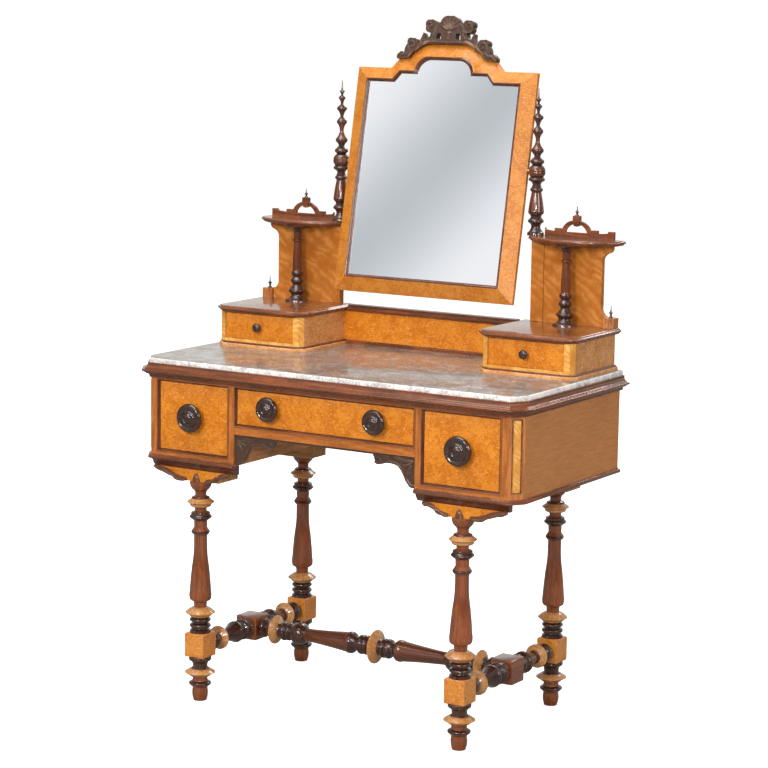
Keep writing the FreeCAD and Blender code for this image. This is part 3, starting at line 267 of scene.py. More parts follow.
def ridge(line, widths, heights, put, round_to=10):
    """A carved rib: at each point of a flat line stands a half round of half-width w and
    height h, point + normal * w cos t + up * h sin t; its underside is nearly flat."""
    line = np.asarray(line, float)
    n = len(line)
    s = np.linspace(0, 1, n)
    w = np.interp(s, np.linspace(0, 1, len(widths)), widths)[:, None]
    h = np.interp(s, np.linspace(0, 1, len(heights)), heights)[:, None]
    step = np.gradient(line, axis=0)
    step /= np.linalg.norm(step, axis=1, keepdims=True) + 1e-9
    normal = np.stack([-step[:, 1], step[:, 0]], 1)
    t = np.linspace(0, 2 * np.pi, 2 * round_to, endpoint=False)[None]
    side = w * np.cos(t)
    up = h * np.where(np.sin(t) > 0, np.sin(t), 0.25 * np.sin(t))
    points = np.stack([line[:, :1] + normal[:, :1] * side,
                       line[:, 1:] + normal[:, 1:] * side, up], -1)
    grain = np.stack([np.cumsum(np.full(n, 2.0))[:, None] + 0 * t, side, up], -1)
    return solid(put(points), grain)


def curl(centre, r0, r1, start, turns, count=40):
    """A spiral: radius goes from r0 to r1 while the angle makes that many turns."""
    s = np.linspace(0, 1, count)
    angle = math.radians(start) + 2 * np.pi * turns * s
    radius = r0 + (r1 - r0) * s ** 0.8
    return np.stack([centre[0] + radius * np.cos(angle),
                     centre[1] + radius * np.sin(angle)], 1)


def bend(*points, count=24):
    """A smooth line through a few points (Catmull-Rom)."""
    p = np.asarray(points, float)
    p = np.concatenate([[2 * p[0] - p[1]], p, [2 * p[-1] - p[-2]]])
    u = np.linspace(0, len(p) - 3 - 1e-6, count)
    i = u.astype(int)
    f = (u - i)[:, None]
    a, b, c, d = p[i], p[i + 1], p[i + 2], p[i + 3]
    return 0.5 * (2 * b + (c - a) * f + (2 * a - 5 * b + 4 * c - d) * f ** 2
                  + (3 * b - a - 3 * c + d) * f ** 3)


def make(name, body, finishes, surfaces, replaces=(), pick=None):
    """Joins surfaces (in millimetres) into one piece, closes and turns their faces
    outwards, shades them smooth between sharp edges, and lets it ride on its body.
    pick(normals, centres) may give each face the number of its finish."""
    co = np.concatenate([s[0] for s in surfaces]) * MM
    grain = np.concatenate([s[2] for s in surfaces]) * MM
    faces, start = [], 0
    for points, (quads, ends), _ in surfaces:
        faces += (quads + start).tolist() + [(end + start).tolist() for end in ends]
        start += len(points)
    mesh = bpy.data.meshes.new(name)
    mesh.from_pydata(co.tolist(), [], faces)
    attribute = mesh.attributes.new("grain", "FLOAT_VECTOR", "POINT")
    attribute.data.foreach_set("vector", grain.astype(np.float32).ravel())
    work = bmesh.new()
    work.from_mesh(mesh)
    bmesh.ops.recalc_face_normals(work, faces=work.faces)
    work.to_mesh(mesh)
    work.free()
    mesh.shade_smooth()
    mesh.set_sharp_from_angle(angle=SHARP)
    for finish in finishes:
        mesh.materials.append(finish)
    if pick:
        count = len(mesh.polygons)
        normals = np.zeros(count * 3)
        centres = np.zeros(count * 3)
        mesh.polygons.foreach_get("normal", normals)
        mesh.polygons.foreach_get("center", centres)
        index = pick(normals.reshape(-1, 3), centres.reshape(-1, 3))
        mesh.polygons.foreach_set("material_index", index.astype(np.int32))
    piece = bpy.data.objects.new(name, mesh)
    bpy.context.scene.collection.objects.link(piece)
    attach(piece, body)
    if replaces:
        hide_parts(*replaces)
    return piece


def dress(node, finish, soft=True, width=None):
    """Gives a CAD node its finish; soft welds its triangles and rounds its arrises."""
    piece = NODES[node]
    piece.data.materials.clear()
    piece.data.materials.append(finish)
    if soft:
        weld = piece.modifiers.new("Weld", "WELD")
        weld.merge_threshold = 1e-5
        edge = piece.modifiers.new("Arris", "BEVEL")
        edge.width = width or sizes().arris
        edge.segments = 2
        edge.limit_method = "ANGLE"
        edge.angle_limit = math.radians(40)
        edge.harden_normals = True
    return piece


def board(x0, x1, y0, y1, z0, z1, grain="x", ease=0.7):
    """A board with eased arrises: three rings near each end of the grain."""
    e = ease
    lo = np.array([[x0 + e, y0], [x1 - e, y0], [x1, y0 + e], [x1, y1 - e],
                   [x1 - e, y1], [x0 + e, y1], [x0, y1 - e], [x0, y0 + e]], float)
    centre = np.array([(x0 + x1) / 2, (y0 + y1) / 2])
    shrink = np.sign(lo - centre) * e

    def plan(out):
        return lo - shrink * out
    layers = [(z0, 1.0), (z0 + e * 0.3, 0.3), (z0 + e, 0.0), (z1 - e, 0.0),
              (z1 - e * 0.3, 0.3), (z1, 1.0)]
    surface = layered(plan, layers)
    order = {"x": [0, 1, 2], "y": [1, 0, 2], "z": [2, 0, 1]}[grain]
    return surface[0], surface[1], surface[0][:, order] + x0 * 0.31 + z0 * 0.17


# ---------------------------------------------------------------- finishes

def add(tree, kind, links=None, **settings):
    """One node: settings are its own values, links its inputs by name or number."""
    node = tree.nodes.new(kind)
    for key, value in settings.items():
        setattr(node, key, value)
    for key, value in (links or {}).items():
        socket = node.inputs[key]
        if isinstance(value, bpy.types.NodeSocket):
            tree.links.new(value, socket)
        else:
            socket.default_value = value
    return node


def math_node(tree, kind, *values, clamp=False):
    node = add(tree, "ShaderNodeMath", operation=kind, use_clamp=clamp)
    for socket, value in zip(node.inputs, values):
        if isinstance(value, bpy.types.NodeSocket):
            tree.links.new(value, socket)
        else:
            socket.default_value = value
    return node.outputs[0]


def span(tree, value, low, high, to_low=0.0, to_high=1.0):
    """Smoothly maps low..high to to_low..to_high."""
    node = add(tree, "ShaderNodeMapRange", {"Value": value, "From Min": low,
               "From Max": high, "To Min": to_low, "To Max": to_high},
               interpolation_type="SMOOTHSTEP")
    return node.outputs["Result"]


def noise(tree, vector, scale, detail=3.0, rough=0.5, twist=0.0):
    return add(tree, "ShaderNodeTexNoise", {"Vector": vector, "Scale": scale,
               "Detail": detail, "Roughness": rough, "Distortion": twist}).outputs["Fac"]


def stretch(tree, vector, scale, turn=(0, 0, 0)):
    return add(tree, "ShaderNodeMapping", {"Vector": vector, "Scale": scale,
               "Rotation": turn}).outputs["Vector"]


def mix(tree, amount, a, b, blend="MIX"):
    node = add(tree, "ShaderNodeMix", data_type="RGBA", blend_type=blend)
    for socket, value in ((node.inputs[0], amount), (node.inputs[6], a), (node.inputs[7], b)):
        if isinstance(value, bpy.types.NodeSocket):
            tree.links.new(value, socket)
        elif isinstance(value, (int, float)):
            socket.default_value = value
        else:
            socket.default_value = tuple(value)[:3] + (1.0,)
    return node.outputs[2]


def group(name, inputs, outputs):
    """An empty shader node group with the named sockets: (name, kind, default)."""
    tree = bpy.data.node_groups.new(name, "ShaderNodeTree")
    for label, kind, default in inputs:
        socket = tree.interface.new_socket(label, in_out="INPUT", socket_type=kind)
        if default is not None:
            socket.default_value = default
    for label, kind in outputs:
        tree.interface.new_socket(label, in_out="OUTPUT", socket_type=kind)
    return tree, tree.nodes.new("NodeGroupInput"), tree.nodes.new("NodeGroupOutput")


def use(tree, name, links):
    """Places a shared node group with this material's own values."""
    node = add(tree, "ShaderNodeGroup", node_tree=bpy.data.node_groups[name])
    for key, value in links.items():
        if isinstance(value, bpy.types.NodeSocket):
            tree.links.new(value, node.inputs[key])
        else:
            node.inputs[key].default_value = value
    return node


def burr_group():
    """Burr figure: cloudy patches, small dark eyes and short silky flecks."""
    tree, into, out = group(
        "Burr Figure", [("Vector", "NodeSocketVector", None), ("Size", "NodeSocketFloat", 1.0)],
        [("Clouds", "NodeSocketFloat"), ("Eyes", "NodeSocketFloat"),
         ("Silk", "NodeSocketFloat")])
    vector = add(tree, "ShaderNodeVectorMath", {0: into.outputs["Vector"],
                 "Scale": into.outputs["Size"]}, operation="SCALE").outputs[0]
    broad = noise(tree, vector, 24.0, 4.0, 0.60, 0.5)
    fine = noise(tree, vector, 170.0, 3.0, 0.60, 0.9)
    clouds = math_node(tree, "ADD", math_node(tree, "MULTIPLY", broad, 0.45),
                       math_node(tree, "MULTIPLY", fine, 0.55))
    spots = add(tree, "ShaderNodeTexVoronoi", {"Vector": vector, "Scale": 210.0,
                "Randomness": 1.0}).outputs["Distance"]
    some = span(tree, noise(tree, vector, 60.0, 2.0), 0.44, 0.62)
    eyes = math_node(tree, "MULTIPLY", span(tree, spots, 0.34, 0.12), some)
    silk_way = stretch(tree, vector, (1.0, 1.0, 2.4), (0.0, 0.6, 0.0))
    silk = span(tree, noise(tree, silk_way, 105.0, 3.0, 0.55, 1.6), 0.54, 0.68)
    for label, value in (("Clouds", clouds), ("Eyes", eyes), ("Silk", silk)):
        tree.links.new(value, out.inputs[label])


def flame_group():
    """Flame figure: slanting bright and dark bands across the grain, broken by noise."""
    tree, into, out = group(
        "Flame Figure", [("Vector", "NodeSocketVector", None),
                         ("Slant", "NodeSocketFloat", 0.6), ("Width", "NodeSocketFloat", 0.02)],
        [("Bands", "NodeSocketFloat"), ("Fine", "NodeSocketFloat")])
    parts = add(tree, "ShaderNodeSeparateXYZ", {0: into.outputs["Vector"]})
    across = math_node(tree, "MULTIPLY", parts.outputs["X"], into.outputs["Slant"])
    across = math_node(tree, "ADD", across, parts.outputs["Z"])
    across = math_node(tree, "ADD", across, parts.outputs["Y"])
    wander = noise(tree, into.outputs["Vector"], 14.0, 3.0, 0.55)
    wander = math_node(tree, "MULTIPLY", math_node(tree, "SUBTRACT", wander, 0.5), 0.085)
    phase = math_node(tree, "DIVIDE", math_node(tree, "ADD", across, wander),
                      into.outputs["Width"])
    wave = math_node(tree, "SINE", math_node(tree, "MULTIPLY", phase, 6.2832))
    wave = math_node(tree, "MULTIPLY_ADD", wave, 0.5, 0.5)
    patch = span(tree, noise(tree, into.outputs["Vector"], 30.0, 3.0), 0.30, 0.70)
    wave = math_node(tree, "MULTIPLY_ADD", math_node(tree, "MULTIPLY", wave, patch), 0.75,
                     math_node(tree, "MULTIPLY", patch, 0.25))
    tree.links.new(wave, out.inputs["Bands"])
    fine = noise(tree, stretch(tree, into.outputs["Vector"], (1, 1, 0.12)), 900.0, 3.0)
    tree.links.new(fine, out.inputs["Fine"])


def grain_group():
    """Straight grain along the first coordinate: broad streaks and fine pores."""
    tree, into, out = group(
        "Wood Grain", [("Vector", "NodeSocketVector", None), ("Scale", "NodeSocketFloat", 1.0)],
        [("Streaks", "NodeSocketFloat"), ("Pores", "NodeSocketFloat")])
    vector = add(tree, "ShaderNodeVectorMath", {0: into.outputs["Vector"],
                 "Scale": into.outputs["Scale"]}, operation="SCALE").outputs[0]
    broad = noise(tree, stretch(tree, vector, (0.10, 1, 1)), 95.0, 4.0, 0.6, 0.5)
    pores = noise(tree, stretch(tree, vector, (0.035, 1, 1)), 900.0, 2.0, 0.5)
    tree.links.new(broad, out.inputs["Streaks"])
    tree.links.new(span(tree, pores, 0.50, 0.72), out.inputs["Pores"])


def wear_group():
    """Old polish: grime and painted shade kept in hollows, and rubbed, lighter high edges, both
    from how much open space a point sees near by; smears change the gloss."""
    tree, into, out = group(
        "Old Polish and Painted Shade", [("Vector", "NodeSocketVector", None),
                       ("Reach", "NodeSocketFloat", 0.006), ("Gloss", "NodeSocketFloat", 0.25)],
        [("Grime and Shade", "NodeSocketFloat"), ("Rubbed", "NodeSocketFloat"),
         ("Roughness", "NodeSocketFloat")])
    # How enclosed a point is darkens its colour: grime, and painted shade in creases and corners.
    hollow = add(tree, "ShaderNodeAmbientOcclusion", {"Distance": into.outputs["Reach"]},
                 samples=6, only_local=True).outputs["AO"]
    edges = add(tree, "ShaderNodeAmbientOcclusion", {"Distance": 0.0025}, samples=6,
                inside=True, only_local=True).outputs["AO"]
    tree.links.new(span(tree, hollow, 0.92, 0.35), out.inputs["Grime and Shade"])
    patchy = span(tree, noise(tree, into.outputs["Vector"], 60.0, 3.0), 0.40, 0.62)
    rubbed = math_node(tree, "MULTIPLY", span(tree, edges, 0.80, 0.45), patchy)
    tree.links.new(rubbed, out.inputs["Rubbed"])
    smears = noise(tree, into.outputs["Vector"], 34.0, 5.0, 0.65, 0.8)
    rough = math_node(tree, "MULTIPLY_ADD", math_node(tree, "SUBTRACT", smears, 0.45), 0.30,
                      into.outputs["Gloss"])
    tree.links.new(math_node(tree, "MAXIMUM", rough, 0.06), out.inputs["Roughness"])


def begin(name):
    """A new material with its tree, shader and an unlinked output."""
    finish = bpy.data.materials.new(name)
    finish.use_nodes = True
    tree = finish.node_tree
    tree.nodes.clear()
    shader = tree.nodes.new("ShaderNodeBsdfPrincipled")
    end = tree.nodes.new("ShaderNodeOutputMaterial")
    tree.links.new(shader.outputs["BSDF"], end.inputs["Surface"])
    return finish, tree, shader


def place_of(tree, source, order=None):
    """Coordinates in metres: the object's own, or the piece's grain attribute; order
    turns the axes so that the first runs along the grain."""
    if source == "grain":
        vector = add(tree, "ShaderNodeAttribute", attribute_name="grain").outputs["Vector"]
    else:
        vector = add(tree, "ShaderNodeTexCoord").outputs["Object"]
    if order and order != "xyz":
        parts = add(tree, "ShaderNodeSeparateXYZ", {0: vector})
        pick = [parts.outputs["xyz".index(axis)] for axis in order]
        vector = add(tree, "ShaderNodeCombineXYZ", {0: pick[0], 1: pick[1], 2: pick[2]}).outputs[0]
    return vector


def bump(tree, height, depth):
    """The normal of a relief of that depth in metres."""
    return add(tree, "ShaderNodeBump", {"Height": height, "Distance": depth,
               "Strength": 1.0}).outputs["Normal"]


def finish_wood(tree, shader, vector, colour, gloss, coat, height, depth, grime_and_shade, reach=0.006,
                rub=(0.55, 0.30, 0.14), rub_amount=0.35):
    """Old polish over a figured colour, with grime and painted shade darkening its hollows, and
    its bump.
    """
    old = use(tree, "Old Polish and Painted Shade", {"Vector": vector, "Reach": reach, "Gloss": gloss})
    # Hollows go towards near black: grime together with painted shade.
    dark = math_node(tree, "MULTIPLY", old.outputs["Grime and Shade"], grime_and_shade)
    colour = mix(tree, dark, colour, (0.020, 0.008, 0.004))
    bright = math_node(tree, "MULTIPLY", old.outputs["Rubbed"], rub_amount)
    colour = mix(tree, bright, colour, rub)
    tree.links.new(colour, shader.inputs["Base Color"])
    tree.links.new(old.outputs["Roughness"], shader.inputs["Roughness"])
    tree.links.new(bump(tree, height, depth), shader.inputs["Normal"])
    shader.inputs["Coat Weight"].default_value = coat
    shader.inputs["Coat Roughness"].default_value = 0.08
    shader.inputs["Specular IOR Level"].default_value = 0.5 if coat > 0.3 else 0.22


def shade(colour, factor):
    return tuple(min(1.0, c * factor) for c in colour)


def burr(name, base, source="object", size=1.0, gloss=0.30, coat=0.10, grime_and_shade=0.75,
         depth_of=1.0):
    finish, tree, shader = begin(name)
    vector = place_of(tree, source)
    figure = use(tree, "Burr Figure", {"Vector": vector, "Size": size})
    low = (base[0] * 0.80, base[1] * 0.67, base[2] * 0.35)
    high = (base[0] * 1.06, base[1] * 1.10, base[2] * 1.00)
    colour = mix(tree, span(tree, figure.outputs["Clouds"], 0.41, 0.59), low, high)
    eyes = math_node(tree, "MULTIPLY", figure.outputs["Eyes"], 0.55 * depth_of)
    colour = mix(tree, eyes, colour, shade(base, 0.30))
    silk = math_node(tree, "MULTIPLY", figure.outputs["Silk"], 0.68 * depth_of)
    colour = mix(tree, silk, colour, (min(1, base[0] * 1.30), base[1] * 1.70, base[2] * 5.0))
    finish_wood(tree, shader, vector, colour, gloss, coat, figure.outputs["Clouds"], 0.00012,
                grime_and_shade)
    return finish


def flame(name, base, source="object", slant=0.6, width=0.022, gloss=0.24, order=None):
    finish, tree, shader = begin(name)
    vector = place_of(tree, source, order)
    figure = use(tree, "Flame Figure", {"Vector": vector, "Slant": slant, "Width": width})
    low = (base[0] * 0.74, base[1] * 0.60, base[2] * 0.45)
    high = (min(1, base[0] * 1.20), base[1] * 1.32, base[2] * 1.8)
    colour = mix(tree, figure.outputs["Bands"], low, high)
    fine = math_node(tree, "MULTIPLY", span(tree, figure.outputs["Fine"], 0.45, 0.75), 0.25)
    colour = mix(tree, fine, colour, shade(base, 0.45))
    broad = span(tree, noise(tree, vector, 7.0, 2.0), 0.35, 0.65)
    colour = mix(tree, math_node(tree, "MULTIPLY", broad, 0.22), colour, shade(base, 0.6))
    finish_wood(tree, shader, vector, colour, gloss, 0.10, figure.outputs["Fine"], 0.00008,
                0.7)
    return finish


def grained(name, base, source="grain", order=None, streak=0.55, scale=1.0, gloss=0.25,
            coat=0.4, grime_and_shade=0.85, reach=0.006, rub=(0.45, 0.20, 0.09), rub_amount=0.35,
            depth=0.00010, pore=0.40, cloud=0.25):
    """Straight grain: streak, pore and cloud say how strongly each of them shows."""
    finish, tree, shader = begin(name)
    vector = place_of(tree, source, order)
    lines = use(tree, "Wood Grain", {"Vector": vector, "Scale": scale})
    tone = span(tree, lines.outputs["Streaks"], 0.36, 0.64)
    colour = mix(tree, tone, shade(base, 1.0 - streak * 0.75), shade(base, 1.0 + streak))
    pores = math_node(tree, "MULTIPLY", lines.outputs["Pores"], pore)
    colour = mix(tree, pores, colour, shade(base, 0.30))
    patch = span(tree, noise(tree, vector, 9.0, 3.0), 0.35, 0.68)
    colour = mix(tree, math_node(tree, "MULTIPLY", patch, cloud), colour, shade(base, 0.55))
    finish_wood(tree, shader, vector, colour, gloss, coat, lines.outputs["Pores"], -depth,
                grime_and_shade, reach, rub, rub_amount)
    return finish


def framed(name, base, level_where, gloss=0.26, coat=0.15, streak=0.32, grime_and_shade=0.8):
    """Straight grain that runs level where level_where(tree, x, y, z) is one and upright
    elsewhere, so that rails and stiles of one frame each follow their own length."""
    finish, tree, shader = begin(name)
    place = place_of(tree, "object")
    parts = add(tree, "ShaderNodeSeparateXYZ", {0: place})
    x, y, z = (parts.outputs[k] for k in range(3))
    level = level_where(tree, x, y, z)
    upright = add(tree, "ShaderNodeCombineXYZ", {0: z, 1: x, 2: y}).outputs[0]
    vector = add(tree, "ShaderNodeMix", data_type="VECTOR")
    tree.links.new(level, vector.inputs[0])
    tree.links.new(upright, vector.inputs[4])
    tree.links.new(place, vector.inputs[5])
    vector = vector.outputs[1]
    lines = use(tree, "Wood Grain", {"Vector": vector, "Scale": 1.3})
    tone = span(tree, lines.outputs["Streaks"], 0.34, 0.66)
    colour = mix(tree, tone, shade(base, 1.0 - streak * 0.7), shade(base, 1.0 + streak))
    pores = math_node(tree, "MULTIPLY", lines.outputs["Pores"], 0.35)
    colour = mix(tree, pores, colour, shade(base, 0.35))
    finish_wood(tree, shader, place, colour, gloss, coat, lines.outputs["Pores"], -0.00008,
                grime_and_shade)
    return finish


def case_rails(tree, x, y, z):
    """One on the bottom and top rails of the case and on the rail of the middle drawer."""
    wide = math_node(tree, "LESS_THAN", math_node(tree, "ABSOLUTE", x), 0.230)
    low = math_node(tree, "LESS_THAN", z, 0.560)
    high = math_node(tree, "GREATER_THAN", z, 0.725)
    return math_node(tree, "ADD", math_node(tree, "ADD", wide, low), high, clamp=True)


def marble(name, edge=False):
    """Grey and pinkish-brown clouds with pale crystals and thin dark veins; the sawn edge is paler
    and speckled, and darker towards its bottom."""
    finish, tree, shader = begin(name)
    vector = place_of(tree, "object")
    clouds = noise(tree, vector, 9.0, 8.0, 0.62, 1.6)
    patches = noise(tree, vector, 90.0 if edge else 30.0, 6.0, 0.66, 0.9)
    specks = add(tree, "ShaderNodeTexVoronoi", {"Vector": vector, "Scale": 190.0,
                 "Randomness": 1.0}).outputs["Distance"]
    veins = add(tree, "ShaderNodeMath", {0: noise(tree, vector, 11.0, 6.0, 0.6, 2.6),
                1: 0.5}, operation="SUBTRACT").outputs[0]
    veins = span(tree, math_node(tree, "ABSOLUTE", veins), 0.022, 0.0)
    if edge:
        a, b, c = (0.80, 0.775, 0.74), (0.62, 0.59, 0.56), (0.92, 0.91, 0.89)
    else:
        a, b, c = (0.225, 0.160, 0.120), (0.205, 0.182, 0.165), (0.34, 0.310, 0.285)
    colour = mix(tree, span(tree, clouds, 0.36, 0.62), a, b)
    colour = mix(tree, span(tree, patches, 0.46, 0.70), colour, c)
    pale = math_node(tree, "MULTIPLY", span(tree, specks, 0.42, 0.12),
                     span(tree, patches, 0.40, 0.60))
    colour = mix(tree, math_node(tree, "MULTIPLY", pale, 0.50), colour, (0.80, 0.76, 0.72))
    colour = mix(tree, math_node(tree, "MULTIPLY", veins, 0.55), colour, (0.12, 0.095, 0.085))
    if edge:
        # Dark specks on the edge, denser towards its bottom.
        height = add(tree, "ShaderNodeSeparateXYZ", {0: vector}).outputs["Z"]
        dark_specks = span(tree, noise(tree, stretch(tree, vector, (1, 1, 0.35)), 240.0, 3.0),
                     0.50, 0.64)
        low = math_node(tree, "MULTIPLY", dark_specks, span(tree, height, 0.764, 0.752, 0.25, 0.85))
        colour = mix(tree, low, colour, (0.16, 0.14, 0.13))
    tree.links.new(colour, shader.inputs["Base Color"])
    smears = noise(tree, vector, 22.0, 4.0, 0.6, 0.5)
    low, high = (0.26, 0.50) if edge else (0.12, 0.34)
    tree.links.new(span(tree, smears, 0.35, 0.70, low, high), shader.inputs["Roughness"])
    tree.links.new(bump(tree, patches, 0.0004 if edge else 0.00006), shader.inputs["Normal"])
    shader.inputs["Coat Weight"].default_value = 0.3
    shader.inputs["Coat Roughness"].default_value = 0.10
    return finish


def silvering(name):
    """Old silvered glass: bright, with faint haze and small dark foxing in scattered patches."""
    finish, tree, shader = begin(name)
    vector = place_of(tree, "object")
    haze = noise(tree, vector, 5.0, 4.0, 0.5, 0.5)
    fox = add(tree, "ShaderNodeTexVoronoi", {"Vector": vector, "Scale": 46.0}).outputs["Distance"]
    few = span(tree, noise(tree, vector, 7.0, 2.0), 0.66, 0.76)
    spots = math_node(tree, "MULTIPLY", span(tree, fox, 0.12, 0.03), few)
    colour = mix(tree, haze, (0.86, 0.88, 0.89), (0.91, 0.92, 0.925))
    colour = mix(tree, math_node(tree, "MULTIPLY", spots, 0.5), colour, (0.30, 0.27, 0.22))
    tree.links.new(colour, shader.inputs["Base Color"])
    tree.links.new(span(tree, haze, 0.3, 0.8, 0.015, 0.05), shader.inputs["Roughness"])
    shader.inputs["Metallic"].default_value = 1.0
    return finish


def worn_steel(name):
    finish, tree, shader = begin(name)
    vector = place_of(tree, "object")
    rust = span(tree, noise(tree, vector, 220.0, 4.0, 0.6), 0.50, 0.68)
    colour = mix(tree, rust, (0.50, 0.47, 0.42), (0.16, 0.075, 0.035))
    tree.links.new(colour, shader.inputs["Base Color"])
    tree.links.new(span(tree, rust, 0.0, 1.0, 0.30, 0.75), shader.inputs["Roughness"])
    shader.inputs["Metallic"].default_value = 0.9
    return finish


FINISHES = {}


def build_finishes():
    burr_group()
    flame_group()
    grain_group()
    wear_group()
    w = woods()
    c = {key: tuple(getattr(w, key)) for key in
         ("burr", "frame", "flame", "side", "walnut", "turned", "carved", "plain")}
    FINISHES.update({
        "burr": burr("Burr Maple", c["burr"]),
        "frame_burr": burr("Mirror Frame Maple", shade(c["frame"], 0.93), size=1.25,
                           depth_of=0.9),
        "ring": burr("Ring Maple", (0.52, 0.24, 0.080), source="grain", coat=0.5,
                     gloss=0.2),
        "block": burr("Block Maple", shade(c["frame"], 1.05), size=1.1, coat=0.4),
        "box_side": burr("Box Side Maple", (0.62, 0.285, 0.105), depth_of=0.8),
        "flame": flame("Flame Maple", c["flame"]),
        "flame_left": flame("Flame Maple Left", c["flame"], slant=0.75),
        "post_flame": flame("Corner Post Maple", (0.88, 0.43, 0.09), slant=0.1, width=0.013),
        # The sides are 1.42 times the set side colour: partly the veneer's colour, partly painted
        # light that stands in for fill light.
        "side": grained("Side Veneer With Painted Light", shade(c["side"], 1.42), source="object", order="yxz",
                        streak=0.12, scale=2.2, gloss=0.36, coat=0.12, grime_and_shade=0.5,
                        rub_amount=0.1, pore=0.22, cloud=0.15),
        # The kneehole panels are lighter than the secondary wood: partly the wood's own colour,
        # partly painted light in the shaded kneehole.
        "inner_side_with_painted_light": grained("Inner Side With Painted Light", (0.62, 0.30, 0.125), source="object",
                              order="yxz", streak=0.30, gloss=0.5, coat=0.0),
        "walnut": grained("Walnut Moulding", c["walnut"], streak=0.45),
        "walnut_x": grained("Walnut Rail", c["walnut"], source="object", order="xyz"),
        "walnut_z": grained("Walnut Stile", (0.46, 0.155, 0.034), source="object",
                            order="zxy", streak=0.35),
        "front_frame": framed("Front Frame Walnut", (0.40, 0.125, 0.026), case_rails),
        "top": grained("Polished Box Top", (0.20, 0.070, 0.024), streak=0.5, scale=0.7,
                       gloss=0.12, coat=0.5, grime_and_shade=0.3, rub_amount=0.15),
        "turned": grained("Turned Walnut", c["turned"], streak=0.34, scale=0.8, gloss=0.2,
                          coat=0.6, reach=0.012, rub=(0.42, 0.15, 0.06)),
        "dark_turned": grained("Stretcher Walnut", (0.115, 0.029, 0.009), streak=0.40,
                               scale=0.8, gloss=0.18, coat=0.6, reach=0.012,
                               rub=(0.36, 0.13, 0.06)),
        "ebonised": grained("Dark Turned Walnut", (0.050, 0.015, 0.008), streak=0.5,
                            gloss=0.16, coat=0.7, reach=0.012, rub=(0.30, 0.12, 0.06),
                            rub_amount=0.45),
        "trim": grained("Trim Walnut", (0.30, 0.085, 0.022), streak=0.3, gloss=0.2,
                        coat=0.5),
        "knob": grained("Knob Walnut", (0.034, 0.011, 0.006), streak=0.5, gloss=0.10,
                        coat=0.8, reach=0.008, rub=(0.36, 0.14, 0.07), rub_amount=0.5),
        "slip": grained("Dark Slip", (0.095, 0.024, 0.009), gloss=0.22, coat=0.5),
        "carved": grained("Carved Walnut", c["carved"], streak=0.5, gloss=0.34, coat=0.25,
                          reach=0.010, rub=(0.30, 0.17, 0.10), rub_amount=0.7),
        "leaf": grained("Carved Leaf Walnut", (0.135, 0.045, 0.018), streak=0.4, gloss=0.28,
                        coat=0.35, reach=0.008, rub=(0.40, 0.18, 0.08), rub_amount=0.7),
        "plain": grained("Secondary Wood", c["plain"], source="object", order="xyz",
                         streak=0.25, gloss=0.62, coat=0.0, grime_and_shade=0.8, reach=0.02,
                         rub_amount=0.1),
        "plain_y": grained("Drawer Lining", c["plain"], source="object", order="yxz",
                           streak=0.25, gloss=0.62, coat=0.0, grime_and_shade=0.8, reach=0.02,
                           rub_amount=0.1),
        "marble": marble("Marble"),
        "marble_edge": marble("Marble Edge", edge=True),
        "silver": silvering("Silvered Glass"),
        "steel": worn_steel("Worn Steel"),
    })


# ---------------------------------------------------------------- shapes of this table

def canted(half, front_y, rear, cut_x, cut_y, out=0.0):
    """Outline with its two front corners cut off, every face but the rear moved out."""
    slant = math.hypot(cut_x, cut_y)
    fx = out * (1 - cut_x / slant) * slant / cut_y
    sy = out * (1 - cut_y / slant) * slant / cut_x
    x, y = half - cut_x + fx, front_y + cut_y - sy
    return [(-half - out, rear), (-half - out, y), (-x, front_y - out), (x, front_y - out),
            (half + out, y), (half + out, rear)]


def case_plan(out=0.0, rear=209.0):
    return canted(474.0, -252.0, rear, 21.0, 32.0, out)


def box_plan(out=0.0, rear=215.0):
    return [(x + 344.5, y) for x, y in canted(111.5, 10.0, rear, 19.0, 19.0, out)]


LEG_PARTS = [
    ("turned", [(500.0, 24.5), (497.0, 24.5), (479.0, 15.0, 2.5), (474.0, 12.5),
                (467.0, 12.5), (465.0, 18.0), (461.0, 20.0, 1.0)]),
    ("turned", [(442.0, 13.5), (433.0, 13.0), (430.0, 19.5), (427.0, 21.0, 1.0),
                (424.5, 21.0), (420.7, 24.7), (417.5, 24.0, 0.6), (412.0, 17.0),
                (409.0, 15.0, -0.8), (396.0, 14.5), (388.5, 19.5), (385.3, 21.0),
                (382.0, 19.5), (377.5, 15.0), (340.0, 15.5, -0.3), (307.0, 19.2, -0.4),
                (250.0, 24.2, 0.4), (236.5, 24.7, 0.6), (229.0, 20.0, 1.4),
                (225.0, 15.0, -0.8), (214.0, 14.0)]),
    ("ebonised", [(191.0, 16.0), (188.5, 21.5), (185.0, 23.5, 0.8), (181.5, 21.5, 0.8),
                  (179.5, 17.0), (177.5, 17.0), (175.5, 22.0), (171.5, 23.5, 0.8),
                  (168.0, 21.5, 0.8), (165.5, 18.0), (162.0, 23.0, -0.8), (156.0, 24.0)]),
    ("ebonised", [(101.0, 24.0), (97.0, 25.0, 0.8), (92.0, 24.0, 0.8), (84.0, 16.8, -1.2),
                  (77.0, 16.5), (73.0, 21.0)]),
    ("turned", [(55.0, 17.5), (50.0, 16.5), (45.0, 18.0), (42.0, 24.0), (39.3, 25.0, 0.4),
                (36.5, 24.0, 0.4), (31.0, 17.5), (27.0, 16.8), (16.0, 17.8, 0.6),
                (5.0, 15.8, 0.4), (0.0, 14.6)]),
]
